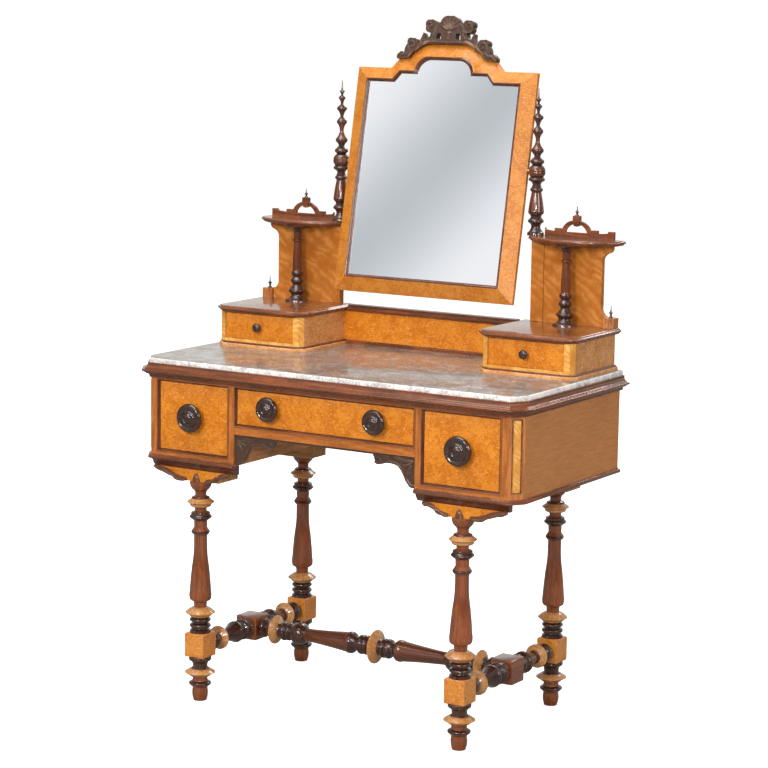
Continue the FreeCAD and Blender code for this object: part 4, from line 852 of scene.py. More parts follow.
LEG_RINGS = [
    [(461.0, 20.0), (458.5, 23.5), (454.0, 30.0), (452.6, 30.0), (448.5, 24.5),
     (446.5, 24.0), (442.0, 20.0, 0.8)],
    [(214.0, 17.0), (210.0, 24.5), (203.0, 33.0), (201.2, 33.0), (195.5, 25.0),
     (191.0, 19.0, 0.8)],
    [(73.0, 22.0), (70.5, 26.5), (65.5, 34.0), (63.8, 34.0), (58.5, 25.0),
     (55.0, 19.0, 0.8)],
]
LEG_X, LEG_Y = 335.0, (-227.0, 186.0)
MIDDLE_Y = sum(LEG_Y) / 2
STRETCH_Z = 127.5
SIDE_BALUSTER = [(124.0, 15.0), (121.5, 12.0), (118.0, 11.5), (76.0, 23.0, -1.5),
                 (71.0, 24.5, 0.6), (64.0, 22.0, 0.8), (59.0, 15.5), (55.0, 15.5),
                 (51.0, 20.0), (45.0, 24.0, 1.0), (38.0, 21.5, 1.0), (34.0, 16.5),
                 (31.0, 16.5), (27.0, 21.0)]
SIDE_BUTTON = [(181.5, 15.0), (177.5, 14.0), (174.0, 18.5), (165.0, 21.5, 1.2),
               (154.0, 19.5, 1.0), (149.0, 13.5), (144.0, 15.0)]
SIDE_DISC = [(144.0, 15.0), (141.5, 19.0), (135.0, 26.8), (133.0, 26.8), (126.5, 19.0),
             (124.0, 15.0)]
CROSS_SHAFT = [(258.0, 17.0), (254.0, 15.0), (250.0, 15.0), (247.0, 20.0),
               (242.0, 21.5, 0.8), (237.0, 18.0, 0.8), (234.0, 19.0), (229.0, 20.0, 0.6),
               (225.0, 15.5), (221.0, 16.0), (216.0, 22.0), (203.0, 25.0, 1.2),
               (190.0, 21.0, 1.2), (184.0, 14.5), (178.0, 14.5), (72.0, 23.0, -0.8),
               (64.0, 24.5, 0.8), (57.0, 22.0, 0.8), (51.0, 15.5), (45.0, 15.0),
               (41.0, 19.5), (36.0, 22.0, 0.8), (30.5, 21.0, 0.6), (28.0, 19.0),
               (24.0, 22.0, 0.6), (19.0, 20.0, 0.6), (15.0, 16.5), (11.0, 19.0)]
CROSS_END = [(308.0, 17.0), (304.0, 21.0), (299.0, 22.0, 0.8), (294.0, 20.0, 0.8),
             (290.0, 14.0), (285.0, 14.0), (280.0, 19.0)]
CROSS_DISC = [(280.0, 18.0), (277.0, 23.0), (270.0, 32.7), (268.0, 32.7), (261.0, 23.0),
              (258.0, 18.0)]
MIDDLE_DISC = [(11.0, 20.0), (9.0, 26.0), (1.2, 38.0), (-1.2, 38.0), (-9.0, 26.0),
               (-11.0, 20.0)]
COLUMN = [(1039.0, 29.2), (1036.5, 29.2), (1034.0, 26.5, 0.6), (1026.0, 12.5, -3.0),
          (1019.0, 8.6, -1.0), (1006.0, 8.4), (1004.5, 11.0), (1002.7, 11.8, 0.4),
          (1000.5, 11.0, 0.4), (997.0, 8.2), (933.0, 10.9, 0.4), (929.5, 13.0),
          (925.5, 13.8, 0.6), (921.0, 12.6, 0.6), (917.0, 10.0, -0.6), (912.0, 13.5),
          (908.0, 14.5, 0.6), (904.0, 13.5, 0.6), (898.0, 10.5, -0.8), (891.0, 15.0),
          (888.0, 18.5, -0.5), (884.5, 19.6, 0.6), (881.0, 18.5, 0.5), (876.0, 14.0, -0.8),
          (871.0, 16.0, -0.6), (866.0, 23.5, -1.5), (863.5, 27.0, 0.4), (860.0, 27.5)]
POST = [(1372.6, 0.9), (1352.0, 2.2, -0.2), (1349.5, 5.2), (1347.6, 5.8, 0.3),
        (1345.5, 4.6, 0.4), (1340.0, 2.4, -0.6), (1336.0, 6.5), (1333.0, 8.0, 0.4),
        (1330.0, 6.5, 0.4), (1319.0, 3.0, -0.9), (1313.0, 9.5), (1308.8, 11.7, 0.5),
        (1304.5, 9.5, 0.5), (1290.0, 3.8, -1.4), (1283.5, 9.5), (1278.5, 11.7, 0.6),
        (1273.5, 9.5, 0.6), (1257.0, 4.6, -1.6), (1242.0, 11.5, -1.2), (1236.7, 13.7, 0.6),
        (1231.5, 11.5, 0.6), (1223.0, 6.8, -1.0), (1217.5, 12.5), (1212.5, 15.6, 0.6),
        (1208.0, 13.0, 0.8), (1205.0, 10.5), (1201.5, 14.5, 0.4), (1190.5, 18.2, 1.6),
        (1180.0, 15.0, 1.6), (1177.5, 15.0), (1173.0, 18.4, 0.6), (1168.5, 14.0, 0.8),
        (1162.0, 9.0, -0.8), (1155.0, 11.5), (1150.6, 14.5, 0.6), (1147.0, 12.0, 0.6),
        (1144.0, 10.8), (1105.0, 17.0, 0.6), (1100.6, 17.4, 0.3), (1096.0, 14.5, 0.6),
        (1090.0, 11.5, -0.6), (1085.0, 16.0), (1081.6, 17.6, 0.5), (1078.0, 16.0, 0.5),
        (1070.0, 10.2, -1.2), (1062.0, 13.0, -0.8), (1057.0, 17.6, -0.6), (1055.0, 18.6),
        (1050.0, 18.8)]
SPIKE = [(21.0, 0.8), (12.0, 1.6, -0.3), (9.5, 4.6, -0.6), (8.0, 4.8, 0.3),
         (6.0, 2.4, -0.4), (3.5, 2.2), (1.5, 4.4), (0.0, 5.0)]


def end_for_end(profile):
    """The same turning the other way up."""
    out, sag = [], 0.0
    for step in reversed(profile):
        out.append((-step[0], step[1], sag))
        sag = step[2] if len(step) > 2 else 0.0
    return out


def sight(out=0.0):
    """Outline of the glass that shows, grown by out, as a path with an arched middle."""
    side, slant, curve = 193.0 + out, 0.42 * out, 32.8 + out
    top, bulge = 235.6 + out, (32.8 + out) * (1 - math.sqrt(0.5)) * 0.98
    return trace([(-side, -259.0 - out), (side, -259.0 - out), (side, 183.0 + out),
                  (128.4 + slant, 183.0 + out), (111.4 + slant, 202.8 + out),
                  (68.7 + out, 202.8 + out), (35.9, top, -bulge), (-35.9, top),
                  (-68.7 - out, 202.8 + out, -bulge), (-111.4 - slant, 202.8 + out),
                  (-128.4 - slant, 183.0 + out), (-side, 183.0 + out)], 2.0)


# ---------------------------------------------------------------- operators

class DRESSING_OT_finishes(bpy.types.Operator):
    """Makes the finishes and the node groups that they share"""
    bl_idname = "dressing.finishes"
    bl_label = "Finishes"

    def execute(self, context):
        build_finishes()
        return {"FINISHED"}


class DRESSING_OT_boards(bpy.types.Operator):
    """Finishes the flat boards of the case, boxes and back, and rounds their arrises"""
    bl_idname = "dressing.boards"
    bl_label = "Case and boards"

    def execute(self, context):
        f = FINISHES
        plain = {"case_top_board": "plain", "case_bottom_boards": "plain_y",
                 "case_back": "plain", "drawer_runners": "plain_y",
                 "leg_mounting_blocks": "plain", "mirror_backboard": "plain",
                 "left_drawer_box": "plain_y", "right_drawer_box": "plain_y",
                 "centre_drawer_box": "plain_y", "small_left_drawer_box": "plain_y",
                 "small_right_drawer_box": "plain_y"}
        shown = {"case_side_panels": "side", "kneehole_panels": "inner_side_with_painted_light",
                 "cant_posts": "walnut_z", "cant_panels": "post_flame",
                 "front_aprons": "burr", "rear_aprons": "side",
                 "left_box_case": "box_side", "right_box_case": "box_side",
                 "back_rail": "burr", "backboards": "flame", "pilasters": "flame_left",
                 "corner_blocks": "walnut_z", "shelf_galleries": "walnut_x",
                 "mirror_frame_stiles": "frame_burr", "mirror_frame_rails": "frame_burr",
                 "leg_square_blocks": "block", "mirror_glass": "silver"}
        for node, finish in {**plain, **shown}.items():
            dress(node, f[finish], soft=node != "mirror_glass")
        dress("upper_box_posts", f["post_flame"], width=0.0005)
        dress("front_frame", f["front_frame"])
        dress("mirror_pivots", f["steel"], soft=False)
        return {"FINISHED"}


class DRESSING_OT_marble(bpy.types.Operator):
    """Makes the marble slab with its eased, paler edge"""
    bl_idname = "dressing.marble"
    bl_label = "Marble top"

    def execute(self, context):
        layers = [(748.7, 1.5), (749.3, 2.3), (750.7, 3.0), (766.0, 3.0), (767.4, 2.5),
                  (768.3, 1.5), (768.7, 0.0)]
        slab = layered(lambda out: case_plan(out, 215.0), layers)
        make("Marble_Top", "table", [FINISHES["marble"], FINISHES["marble_edge"]],
             [slab], ["marble_top"],
             pick=lambda n, c: np.where(np.abs(n[:, 2]) > 0.9, 0, 1))
        return {"FINISHED"}


class DRESSING_OT_cornice(bpy.types.Operator):
    """Makes the moulded cornice round the front, corners and sides; its upper hollow
    rises in front of the lower half of the marble's edge"""
    bl_idname = "dressing.cornice"
    bl_label = "Cornice"

    def execute(self, context):
        section = [(0.0, 725.0), (3.2, 725.0), (3.8, 726.6, -0.4), (3.2, 728.2, -0.4),
                   (4.4, 728.8), (8.0, 733.0, 1.0), (12.5, 736.2, -0.8), (15.0, 736.8),
                   (15.4, 738.2), (18.4, 738.8), (20.3, 740.2, -0.4), (20.5, 742.0, -0.4),
                   (18.0, 743.4, -0.2), (14.0, 744.4, 0.3), (13.2, 745.6),
                   (7.0, 754.4, 1.6), (6.8, 755.6), (7.4, 756.4, -0.3), (7.2, 758.0, -0.3),
                   (3.2, 758.2), (3.2, 748.7), (0.0, 748.7)]
        make("Cornice", "table", [FINISHES["walnut"]],
             [moulding(section, CASE_PATH)], ["cornice_moulding"])
        return {"FINISHED"}


class DRESSING_OT_trims(bpy.types.Operator):
    """Makes the mitred mouldings inside the drawer openings, with a painted shadow along their
    inner edge
    """
    bl_idname = "dressing.trims"
    bl_label = "Drawer opening mouldings"

    def execute(self, context):
        section = [(0.0, -12.0), (0.0, 0.6), (-0.6, 1.7, 0.2), (-1.8, 2.0, 0.3),
                   (-2.8, 1.2, 0.3), (-3.2, 0.2), (-4.4, -1.6, -0.3), (-5.4, -2.4, 0.2),
                   (-6.0, -3.4), (-6.0, -12.0)][::-1]

        def ring(x0, x1, z0, z1):
            path = [(x0, z0), (x1, z0), (x1, z1), (x0, z1)]
            return moulding(section, path, closed=True, put=front, fine=0.4)
        right = ring(243.0, 437.0, 560.0, 725.0)

        # Faces more than 2.7 mm in from the opening's edge, next to the drawer, take the dark slip
        # finish: a painted shadow of the gap round the drawer; the rest takes the lighter trim.
        def bands(normals, centres):
            x, z = np.abs(centres[:, 0]) / MM, centres[:, 2] / MM
            deep = np.minimum(np.minimum(x - 243, 437 - x), np.minimum(z - 560, 725 - z))
            middle = np.minimum(230 - x, np.minimum(z - 635, 725 - z))
            return np.where(np.where(x > 236, deep, middle) < 2.7, 1, 0)
        make("Opening_Trims", "table", [FINISHES["slip"], FINISHES["trim"]],
             pair(right) + [ring(-230.0, 230.0, 635.0, 725.0)], ["opening_trims"],
             pick=bands)
        return {"FINISHED"}


def on_cant(points):
    """(along, height, depth outwards) to a place on the right canted corner."""
    along, d = points[..., 0], points[..., 2]
    x = 453.0 + (21.0 * along + 32.0 * d) / SLANT
    y = CASE_FRONT + (32.0 * along - 21.0 * d) / SLANT
    return np.stack([x, y, points[..., 1]], -1)


class DRESSING_OT_corner_beads(bpy.types.Operator):
    """Makes the fine dark beads round the strips of the canted corners"""
    bl_idname = "dressing.corner_beads"
    bl_label = "Corner beads"

    def execute(self, context):
        section = [(0.0, -1.5), (0.0, 0.5), (-0.5, 1.0, -0.2), (-1.5, 0.9, -0.2),
                   (-2.2, -0.4, -0.2), (-2.4, -1.5)]
        a0, a1, z0, z1 = 7.5, SLANT - 7.5, 565.0, 720.0
        ring = moulding(section[::-1], [(a0, z0), (a1, z0), (a1, z1), (a0, z1)],
                        closed=True, put=on_cant, fine=0.4)
        make("Corner_Beads", "table", [FINISHES["slip"]], pair(ring))
        return {"FINISHED"}


class DRESSING_OT_base(bpy.types.Operator):
    """Makes the beads and coves under the case"""
    bl_idname = "dressing.base"
    bl_label = "Base mouldings"

    def execute(self, context):
        bead = [(0.0, 542.0), (2.4, 542.0), (3.2, 543.0), (6.4, 547.0, -1.9),
                (3.4, 550.6, -1.6), (2.2, 551.2), (1.4, 553.0, 0.3), (0.0, 553.0)]
        path = [(230, -252), (453, -252), (474, -220), (474, 209)]
        right = moulding(bead, path)
        make("Base_Beads", "table", [FINISHES["walnut"]], pair(right),
             ["base_beads"])
        cove = [(0.0, 542.0), (-0.6, 541.0), (-1.4, 540.4), (-9.0, 527.5, 3.0),
                (-9.0, 526.0), (-20.0, 526.0), (-20.0, 546.0), (0.0, 546.0)]
        path = [(230, -250), (453, -250)]
        right = moulding(cove[::-1], path)
        make("Base_Coves", "table", [FINISHES["slip"]], pair(right),
             ["base_coves"])
        return {"FINISHED"}


class DRESSING_OT_legs(bpy.types.Operator):
    """Turns the four legs and their maple rings"""
    bl_idname = "dressing.legs"
    bl_label = "Turned legs"

    def execute(self, context):
        rings = []
        for label, y in (("front", LEG_Y[0]), ("rear", LEG_Y[1])):
            for side, x in (("left", -LEG_X), ("right", LEG_X)):
                at = (x, y, 0)
                dark = [lathe(p, at) for _, p in LEG_PARTS]
                name = "leg_%s_%s" % (label, side)
                make("Turned_" + name, "table",
                     [FINISHES["turned"], FINISHES["ebonised"]], dark, [name],
                     pick=leg_bands)
                rings += [lathe(p, at) for p in LEG_RINGS]
        make("Leg_Rings", "table", [FINISHES["ring"]], rings, ["leg_rings"])
        return {"FINISHED"}


def leg_bands(normals, centres):
    """Rings and necks are darker than the vase and the foot: by height in millimetres."""
    z = centres[:, 2] * PER_METRE
    dark = ((z > 156) & (z < 192)) | ((z > 73) & (z < 101.5)) | ((z > 414) & (z < 430))
    dark |= ((z > 381) & (z < 389)) | ((z > 461) & (z < 466)) | ((z > 36) & (z < 45))
    return np.where(dark, 1, 0)


class DRESSING_OT_stretchers(bpy.types.Operator):
    """Turns the stretchers and their maple discs"""
    bl_idname = "dressing.stretchers"
    bl_label = "Stretchers"

    def execute(self, context):
        dark, discs = [], []
        for side in (-1, 1):
            at = (side * LEG_X, MIDDLE_Y, STRETCH_Z)
            for profile in (SIDE_BALUSTER, SIDE_BUTTON):
                dark += [lathe(profile, at, "y"), lathe(end_for_end(profile), at, "y")]
            discs += [lathe(SIDE_DISC, at, "y"), lathe(end_for_end(SIDE_DISC), at, "y")]
            dark.append(board(side * LEG_X - 27, side * LEG_X + 27, MIDDLE_Y - 27,
                              MIDDLE_Y + 27, STRETCH_Z - 27, STRETCH_Z + 27, "y", 2.0))
        make("Side_Stretchers", "table",
             [FINISHES["turned"], FINISHES["ebonised"]], dark, ["side_stretchers"],
             pick=lambda n, c: np.where(np.abs(c[:, 1] * PER_METRE - MIDDLE_Y) < 27.5, 0, 1))
        at = (0, MIDDLE_Y, STRETCH_Z)
        shafts = []
        for profile in (CROSS_SHAFT, CROSS_END):
            shafts += [lathe(profile, at, "x"), lathe(end_for_end(profile), at, "x")]

        def bands(normals, centres):
            x = np.abs(centres[:, 0] * PER_METRE)
            return np.where((x > 62) & (x < 184), 0, 1)
        make("Cross_Stretcher", "table",
             [FINISHES["dark_turned"], FINISHES["ebonised"]], shafts, ["cross_stretcher"],
             pick=bands)
        discs += [lathe(CROSS_DISC, at, "x"), lathe(end_for_end(CROSS_DISC), at, "x"),
                  lathe(MIDDLE_DISC, at, "x")]
        make("Stretcher_Discs", "table", [FINISHES["ring"]], discs,
             ["stretcher_discs"])
        return {"FINISHED"}


def big_knob(radius, x, z):
    """A stepped knob: rim, hollow, and a button in the middle, turned about Y."""
    r = radius
    profile = [(28.0, r * 0.08), (27.6, r * 0.19, 0.3), (25.8, r * 0.30, 0.5),
               (24.4, r * 0.33), (23.6, r * 0.36), (24.2, r * 0.42, 0.3), (23.0, r * 0.48),
               (21.6, r * 0.60, -0.7), (22.6, r * 0.76, -0.4), (22.9, r * 0.84, 0.4),
               (21.0, r * 0.95, 0.7), (17.0, r, 0.6), (14.0, r * 0.98, 0.6),
               (10.0, r * 0.80, 0.8), (7.0, r * 0.50, -0.8), (2.5, r * 0.46),
               (0.0, r * 0.60)]
    forward = [(-h, q, *[-s for s in rest]) for h, q, *rest in profile]
    return lathe(forward, (x, -249.0, z), "y", sides=56, fine=0.7)


def small_knob(x, z):
    """A round button on a short neck, turned about Y."""
    profile = [(-17.0, 1.2), (-16.8, 3.5, -0.2), (-15.2, 7.4, -0.8), (-12.0, 9.8, -1.0),
               (-8.5, 8.4, -1.0), (-6.0, 5.0, 0.5), (-1.5, 4.6), (0.0, 6.5, 0.3)]
    return lathe(profile, (x, 11.0, z), "y", sides=40, fine=0.7)


class DRESSING_OT_drawers(bpy.types.Operator):
    """Makes the veneered drawer fronts and their knobs"""
    bl_idname = "dressing.drawers"
    bl_label = "Drawers"

    def execute(self, context):
        s = sizes()
        big, middle = s.knob_big / MM, s.knob_middle / MM
        sides = {"right": 1, "left": -1}
        for side, sign in sides.items():
            x0, x1 = sorted((sign * 250.0, sign * 430.0))
            body = side + "_drawer"
            make(body + "_veneer", body, [FINISHES["burr"]],
                 [board(x0, x1, -249, -232, 567, 718, ease=1.0)], [body + "_front"])
            make(body + "_knob", body, [FINISHES["knob"]],
                 [big_knob(big, sign * 340.0, 645.0)])
            body = "small_%s_drawer" % side
            x0, x1 = sorted((sign * 253.0, sign * 436.0))
            make(body + "_veneer", body, [FINISHES["burr"]],
                 [board(x0, x1, 11, 22, 786.5, 844.5, ease=0.8)], [body + "_front"])
            make(body + "_knob", body, [FINISHES["knob"]],
                 [small_knob(sign * 344.5, 816.0)])
        make("centre_drawer_veneer", "centre_drawer", [FINISHES["burr"]],
             [board(-223, 223, -249, -232, 642, 718, ease=1.0)], ["centre_drawer_front"])
        make("centre_drawer_knobs", "centre_drawer", [FINISHES["knob"]],
             [big_knob(middle, 135.0, 684.0), big_knob(middle, -135.0, 684.0)])
        return {"FINISHED"}


class DRESSING_OT_boxes(bpy.types.Operator):
    """Makes the plinths and moulded tops of the raised boxes, and the back rail's trims"""
    bl_idname = "dressing.boxes"
    bl_label = "Raised boxes"

    def execute(self, context):
        plinth = layered(box_plan, [(768.7, 8.0), (773.0, 8.0), (774.4, 7.2), (775.4, 5.4),
                                    (776.6, 4.6), (779.0, 4.0)])
        make("Box_Plinths", "table", [FINISHES["box_side"], FINISHES["slip"]],
             pair(plinth), ["upper_box_plinths"],
             pick=lambda n, c: np.where(c[:, 2] > 0.7752, 1, 0))

        def top(out):
            return [(x, y + (5.0 if y == 215.0 else 0.0)) for x, y in box_plan(out)]
        slab = layered(top, [(846.0, 4.0), (846.9, 6.2), (848.4, 7.6), (850.6, 8.4),
                             (851.2, 10.6), (852.2, 11.8), (853.8, 12.0), (855.2, 11.4),
                             (856.0, 10.2), (856.6, 8.8), (858.4, 7.2), (859.5, 5.6),
                             (860.0, 3.5)])
        make("Box_Tops", "table", [FINISHES["top"], FINISHES["walnut_x"]],
             pair(slab), ["upper_box_tops"],
             pick=lambda n, c: np.where(n[:, 2] > 0.97, 0, 1))
        y0, y1 = 195.0, 207.0
        cap = [(846.0, y0 - 4), (851.0, y0 - 8, 0.8), (852.2, y0 - 8.0), (856.0, y0 - 7.6, 0.6),
               (857.0, y0 - 5.0), (861.0, y0 - 2, 1.2), (861.0, y1 + 4), (846.0, y1 + 4)]
        foot = [(768.7, y0 - 5), (774.7, y0 - 4, 1.0), (776.0, y0 - 2.2), (779.0, y0, 0.6),
                (779.0, y1), (768.7, y1)]
        trims = []
        for steps, half in ((cap, 220.5), (foot, 224.5)):
            ring = trace(steps, 0.6)
            row = np.stack([np.full(len(ring), -half), ring[:, 1], ring[:, 0]], -1)
            far = row * np.array([-1, 1, 1])
            points = np.stack([row, far])
            trims.append(solid(points, points.copy()))
        make("Back_Rail_Trims", "table", [FINISHES["walnut_x"]], trims,
             ["back_rail_mouldings"])
        return {"FINISHED"}


class DRESSING_OT_shelves(bpy.types.Operator):
    """Makes the bow-fronted shelves, their columns and the finials"""
    bl_idname = "dressing.shelves"
    bl_label = "Shelves and columns"

    def execute(self, context):
        def plan(out):
            inner, outer = 243.0 - out, 468.0 + out
            arc = trace([(inner, 200.0), (outer, 200.0, -(55.0 + out))], 3.0)
            count = 61
            t = np.linspace(0, len(arc) - 1, count)
            x = np.interp(t, np.arange(len(arc)), arc[:, 0])
            y = np.interp(t, np.arange(len(arc)), arc[:, 1])
            return [(inner, 230.0)] + list(zip(x, y)) + [(outer, 230.0)]
        layers = [(1039.0, -7.0), (1039.6, -5.6), (1041.0, -4.8), (1042.4, -4.2),
                  (1042.9, -1.2), (1044.0, -0.2), (1045.6, 0.0), (1047.2, -0.4),
                  (1048.0, -1.4), (1048.6, -2.8), (1050.0, -4.0)]
        slab = layered(plan, layers)
        make("Shelves", "table", [FINISHES["top"], FINISHES["walnut"]],
             pair(slab), ["shelves"], pick=lambda n, c: np.where(n[:, 2] > 0.9, 0, 1))
        column = lathe(COLUMN, (351.0, 176.5, 0), fine=0.7)

        def bands(normals, centres):
            z = centres[:, 2] * PER_METRE
            return np.where((z > 930) & (z < 1020), 0, 1)
        make("Shelf_Columns", "table",
             [FINISHES["dark_turned"], FINISHES["ebonised"]], pair(column), ["shelf_columns"],
             pick=bands)
        tall = [(h * 1.28,) + tuple(rest) for h, *rest in SPIKE]
        spikes = pair(lathe(SPIKE, (354.0, 216.5, 1098.5), sides=24, fine=0.5))
        spikes += pair(lathe(tall, (447.5, 207.5, 882.0), sides=24, fine=0.5))
        make("Finials", "table", [FINISHES["ebonised"]], spikes, ["finials"])
        return {"FINISHED"}


class DRESSING_OT_posts(bpy.types.Operator):
    """Turns the two mirror posts"""
    bl_idname = "dressing.posts"
    bl_label = "Mirror posts"

    def execute(self, context):
        post = lathe(POST, (255.0, 211.0, 0), fine=0.6, sides=56)

        def bands(normals, centres):
            z = centres[:, 2] * PER_METRE
            red = ((z > 1102) & (z < 1146)) | ((z > 1182) & (z < 1200))
            red |= (z > 1240) & (z < 1275)
            return np.where(red, 0, 1)
        make("Mirror_Posts", "table",
             [FINISHES["dark_turned"], FINISHES["ebonised"]], pair(post), ["mirror_posts"],
             pick=bands)
        return {"FINISHED"}


class DRESSING_OT_mirror_slip(bpy.types.Operator):
    """Makes the moulded dark slip round the glass"""
    bl_idname = "dressing.mirror_slip"
    bl_label = "Mirror slip"

    def execute(self, context):
        section = [(0.0, 13.5), (7.0, 13.5), (7.0, 19.6), (6.0, 20.4, 0.2), (4.4, 20.0, 0.3),
                   (3.4, 18.6, 0.2), (2.8, 17.0, -0.4), (1.6, 15.8, -0.2), (0.6, 15.2, 0.2),
                   (0.0, 14.4)]
        ring = moulding(section[::-1], sight(), closed=True, put=leaning)
        make("Mirror_Slip", "mirror", [FINISHES["slip"]], [ring],
             ["mirror_slip"])
        return {"FINISHED"}


class DRESSING_OT_carving(bpy.types.Operator):
    """Carves the crest, the kneehole brackets and the leaf edgings"""
    bl_idname = "dressing.carving"
    bl_label = "Carved pieces"

    def execute(self, context):
        carved = FINISHES["carved"]
        dress("mirror_crest", carved, width=0.0012)
        dress("kneehole_brackets", carved, width=0.001)
        dress("apron_carvings", FINISHES["leaf"], width=0.0008)
        make("Crest_Relief", "mirror", [carved], crest_relief())
        make("Bracket_Relief", "table", [carved], bracket_relief())
        make("Apron_Relief", "table", [FINISHES["leaf"]], apron_relief())
        return {"FINISHED"}


def crest_relief():
    """Scrolls, leaves and a palmette raised on the pierced crest."""
    def put(points):
        lifted = points.copy()
        lifted[..., 2] += 15.0
        return leaning(lifted)
    right = [
        ridge(bend((127, 238), (118, 246), (106, 248), (98, 256)), [1.5, 5, 4, 2],
              [1, 3.5, 3, 1], put),
        ridge(curl((91, 268), 13, 3, -60, 1.15), [2.5, 3.2, 2.6, 1.6], [1.5, 3.4, 3.2, 2.4],
              put),
        ridge(bend((78, 262), (70, 276), (65.5, 295)), [4.5, 4, 0.8], [2.5, 3, 0.8], put),
        ridge(bend((84, 256), (66, 270), (48, 278), (30, 279)), [2.5, 4, 4, 2],
              [1.5, 3, 3, 1.5], put),
        ridge(curl((50, 314), 10, 2.5, -80, 1.2), [2.4, 3.2, 2.6, 1.6], [1.5, 3.4, 3.4, 2.6],
              put),
        ridge(bend((46, 298), (38, 302), (34, 312), (26, 318)), [3, 4.5, 4, 2],
              [1.5, 3, 3, 1.5], put),
        ridge(bend((44, 284), (39, 292), (36, 302)), [3.5, 3, 2], [2, 2.6, 1.5], put),
    ]
    whole = []
    for part in right:
        whole += pair(part)
    for angle in (-62, -41, -20, 0, 20, 41, 62):
        t = math.radians(angle)
        tip = 31.0 - 5.0 * (abs(angle) / 62.0) ** 2
        line = bend((0, 303), (math.sin(t) * tip * 0.55, 303 + math.cos(t) * tip * 0.55),
                    (math.sin(t) * tip, 303 + math.cos(t) * tip))
        whole.append(ridge(line, [1.5, 3.6, 4.2, 1.0], [2.0, 3.6, 3.2, 0.8], put))
    whole.append(ridge(bend((-9, 301), (0, 298), (9, 301)), [3.0, 5.0, 3.0],
                       [2.0, 5.0, 2.0], put))
    whole.append(ridge(bend((0, 296), (0, 284), (0, 275)), [4.0, 5.5, 3.0],
                       [2.5, 3.8, 1.5], put))
    arch = trace([(98.0, 243.0), (40.0, 276.5, -9.0), (-40.0, 276.5), (-98.0, 243.0, -9.0)],
                 2.0)
    whole.append(ridge(arch, [2.2, 3.4, 3.4, 2.2], [1.6, 2.6, 2.6, 1.6], put))
    return whole


def bracket_relief():
    """A leaf and two scrolls raised on each kneehole bracket."""
    def put(points):
        return np.stack([points[..., 0], -246.6 - points[..., 2], points[..., 1]], -1)
    right = [
        ridge(bend((228, 555), (218, 556), (209, 566), (203, 572)), [3, 4.5, 3.5, 1.5],
              [1.5, 3.0, 2.5, 1], put),
        ridge(curl((137, 602), 9, 2, 200, 1.2), [2.2, 3.0, 2.4, 1.5], [1.4, 3.0, 3.0, 2.2],
              put),
        ridge(bend((200, 578), (194, 590), (182, 599), (160, 601), (146, 596)),
              [2.0, 3.4, 3.6, 3.4, 2.0], [1.2, 2.8, 3.0, 2.8, 1.2], put),
        ridge(bend((224, 606), (206, 606), (184, 610), (158, 612)), [4, 5, 4, 1],
              [1.4, 2.6, 2.2, 0.8], put),
        ridge(bend((222, 600), (214, 586), (211, 570)), [4.5, 4.5, 1.0], [1.6, 2.6, 0.8],
              put),
        ridge(bend((222, 604), (204, 596), (192, 599)), [3.5, 4.0, 1.0], [1.8, 3.0, 0.8],
              put),
    ]
    whole = []
    for part in right:
        whole += pair(part)
    return whole


def apron_relief():
    """Leaves raised along the lower edge of each apron."""
    def put(points):
        return np.stack([points[..., 0], -246.8 - points[..., 2], points[..., 1]], -1)
    right = [
        ridge(bend((248, 523), (264, 519), (280, 512), (288, 508)), [2.5, 3.5, 3.2, 0.8],
              [1.2, 2.6, 2.4, 0.8], put),
        ridge(bend((281, 517), (292, 506), (304, 501.5), (312, 504)), [1.0, 3.2, 3.0, 1.2],
              [0.8, 2.6, 2.4, 0.8], put),
        ridge(bend((446, 523), (428, 518), (408, 511), (396, 506)), [2.5, 3.6, 3.4, 0.8],
              [1.2, 2.8, 2.6, 0.8], put),
        ridge(bend((404, 514), (390, 503), (372, 501), (360, 503)), [1.0, 3.4, 3.0, 1.2],
              [0.8, 2.8, 2.4, 0.8], put),
        ridge(bend((335, 500.5), (335, 510), (335, 519)), [7.0, 6.0, 0.8], [2.2, 3.0, 0.8],
              put),
    ]
    whole = []
    for part in right:
        whole += pair(part)
    return whole


class DRESSING_OT_stage(bpy.types.Operator):
    """Lays a plain pale floor, sets soft studio light and the camera"""
    bl_idname = "dressing.stage"
    bl_label = "Stage"

    def execute(self, context):
        settings = context.scene.dressing_stage
        mesh = bpy.data.meshes.new("Floor")
        far = 2500
        mesh.from_pydata([(-far, -far, 0), (far, -far, 0), (far, far, 0), (-far, far, 0)],
                         [], [(0, 1, 2, 3)])
        floor = bpy.data.objects.new("Floor", mesh)
        context.scene.collection.objects.link(floor)
        finish, tree, shader = begin("Pale Floor")
        seen = add(tree, "ShaderNodeLightPath").outputs["Is Camera Ray"]
        colour = mix(tree, seen, (0.30, 0.29, 0.27), tuple(settings.floor))
        tree.links.new(colour, shader.inputs["Base Color"])
        shader.inputs["Roughness"].default_value = 0.9
        shader.inputs["Specular IOR Level"].default_value = 0.1
        glow = mix(tree, seen, (0, 0, 0), (0.62, 0.62, 0.62))
        tree.links.new(glow, shader.inputs["Emission Color"])
        shader.inputs["Emission Strength"].default_value = 1.0
        mesh.materials.append(finish)
        studio_sky(context.scene)
        lamp("Key", (0.6, -5.6, 3.2), (0, 0, 0.7), 1.6, settings.key)
        lamp("Fill", (4.8, -1.2, 2.4), (0, 0, 0.8), 1.8, settings.fill)
        lamp("Top", (-0.4, -1.2, 4.4), (0, 0, 0.6), 2.6, 115)
        lamp("Back", (-0.4, 5.0, 4.9), (0, 0, 0.8), 2.2, 105)
        lamp("Flash", (2.75, -4.9, 2.0), (0, 0, 0.8), 0.35, 75)
        set_camera(context.scene, settings.lens)
        context.scene.view_settings.view_transform = "Standard"
        return {"FINISHED"}


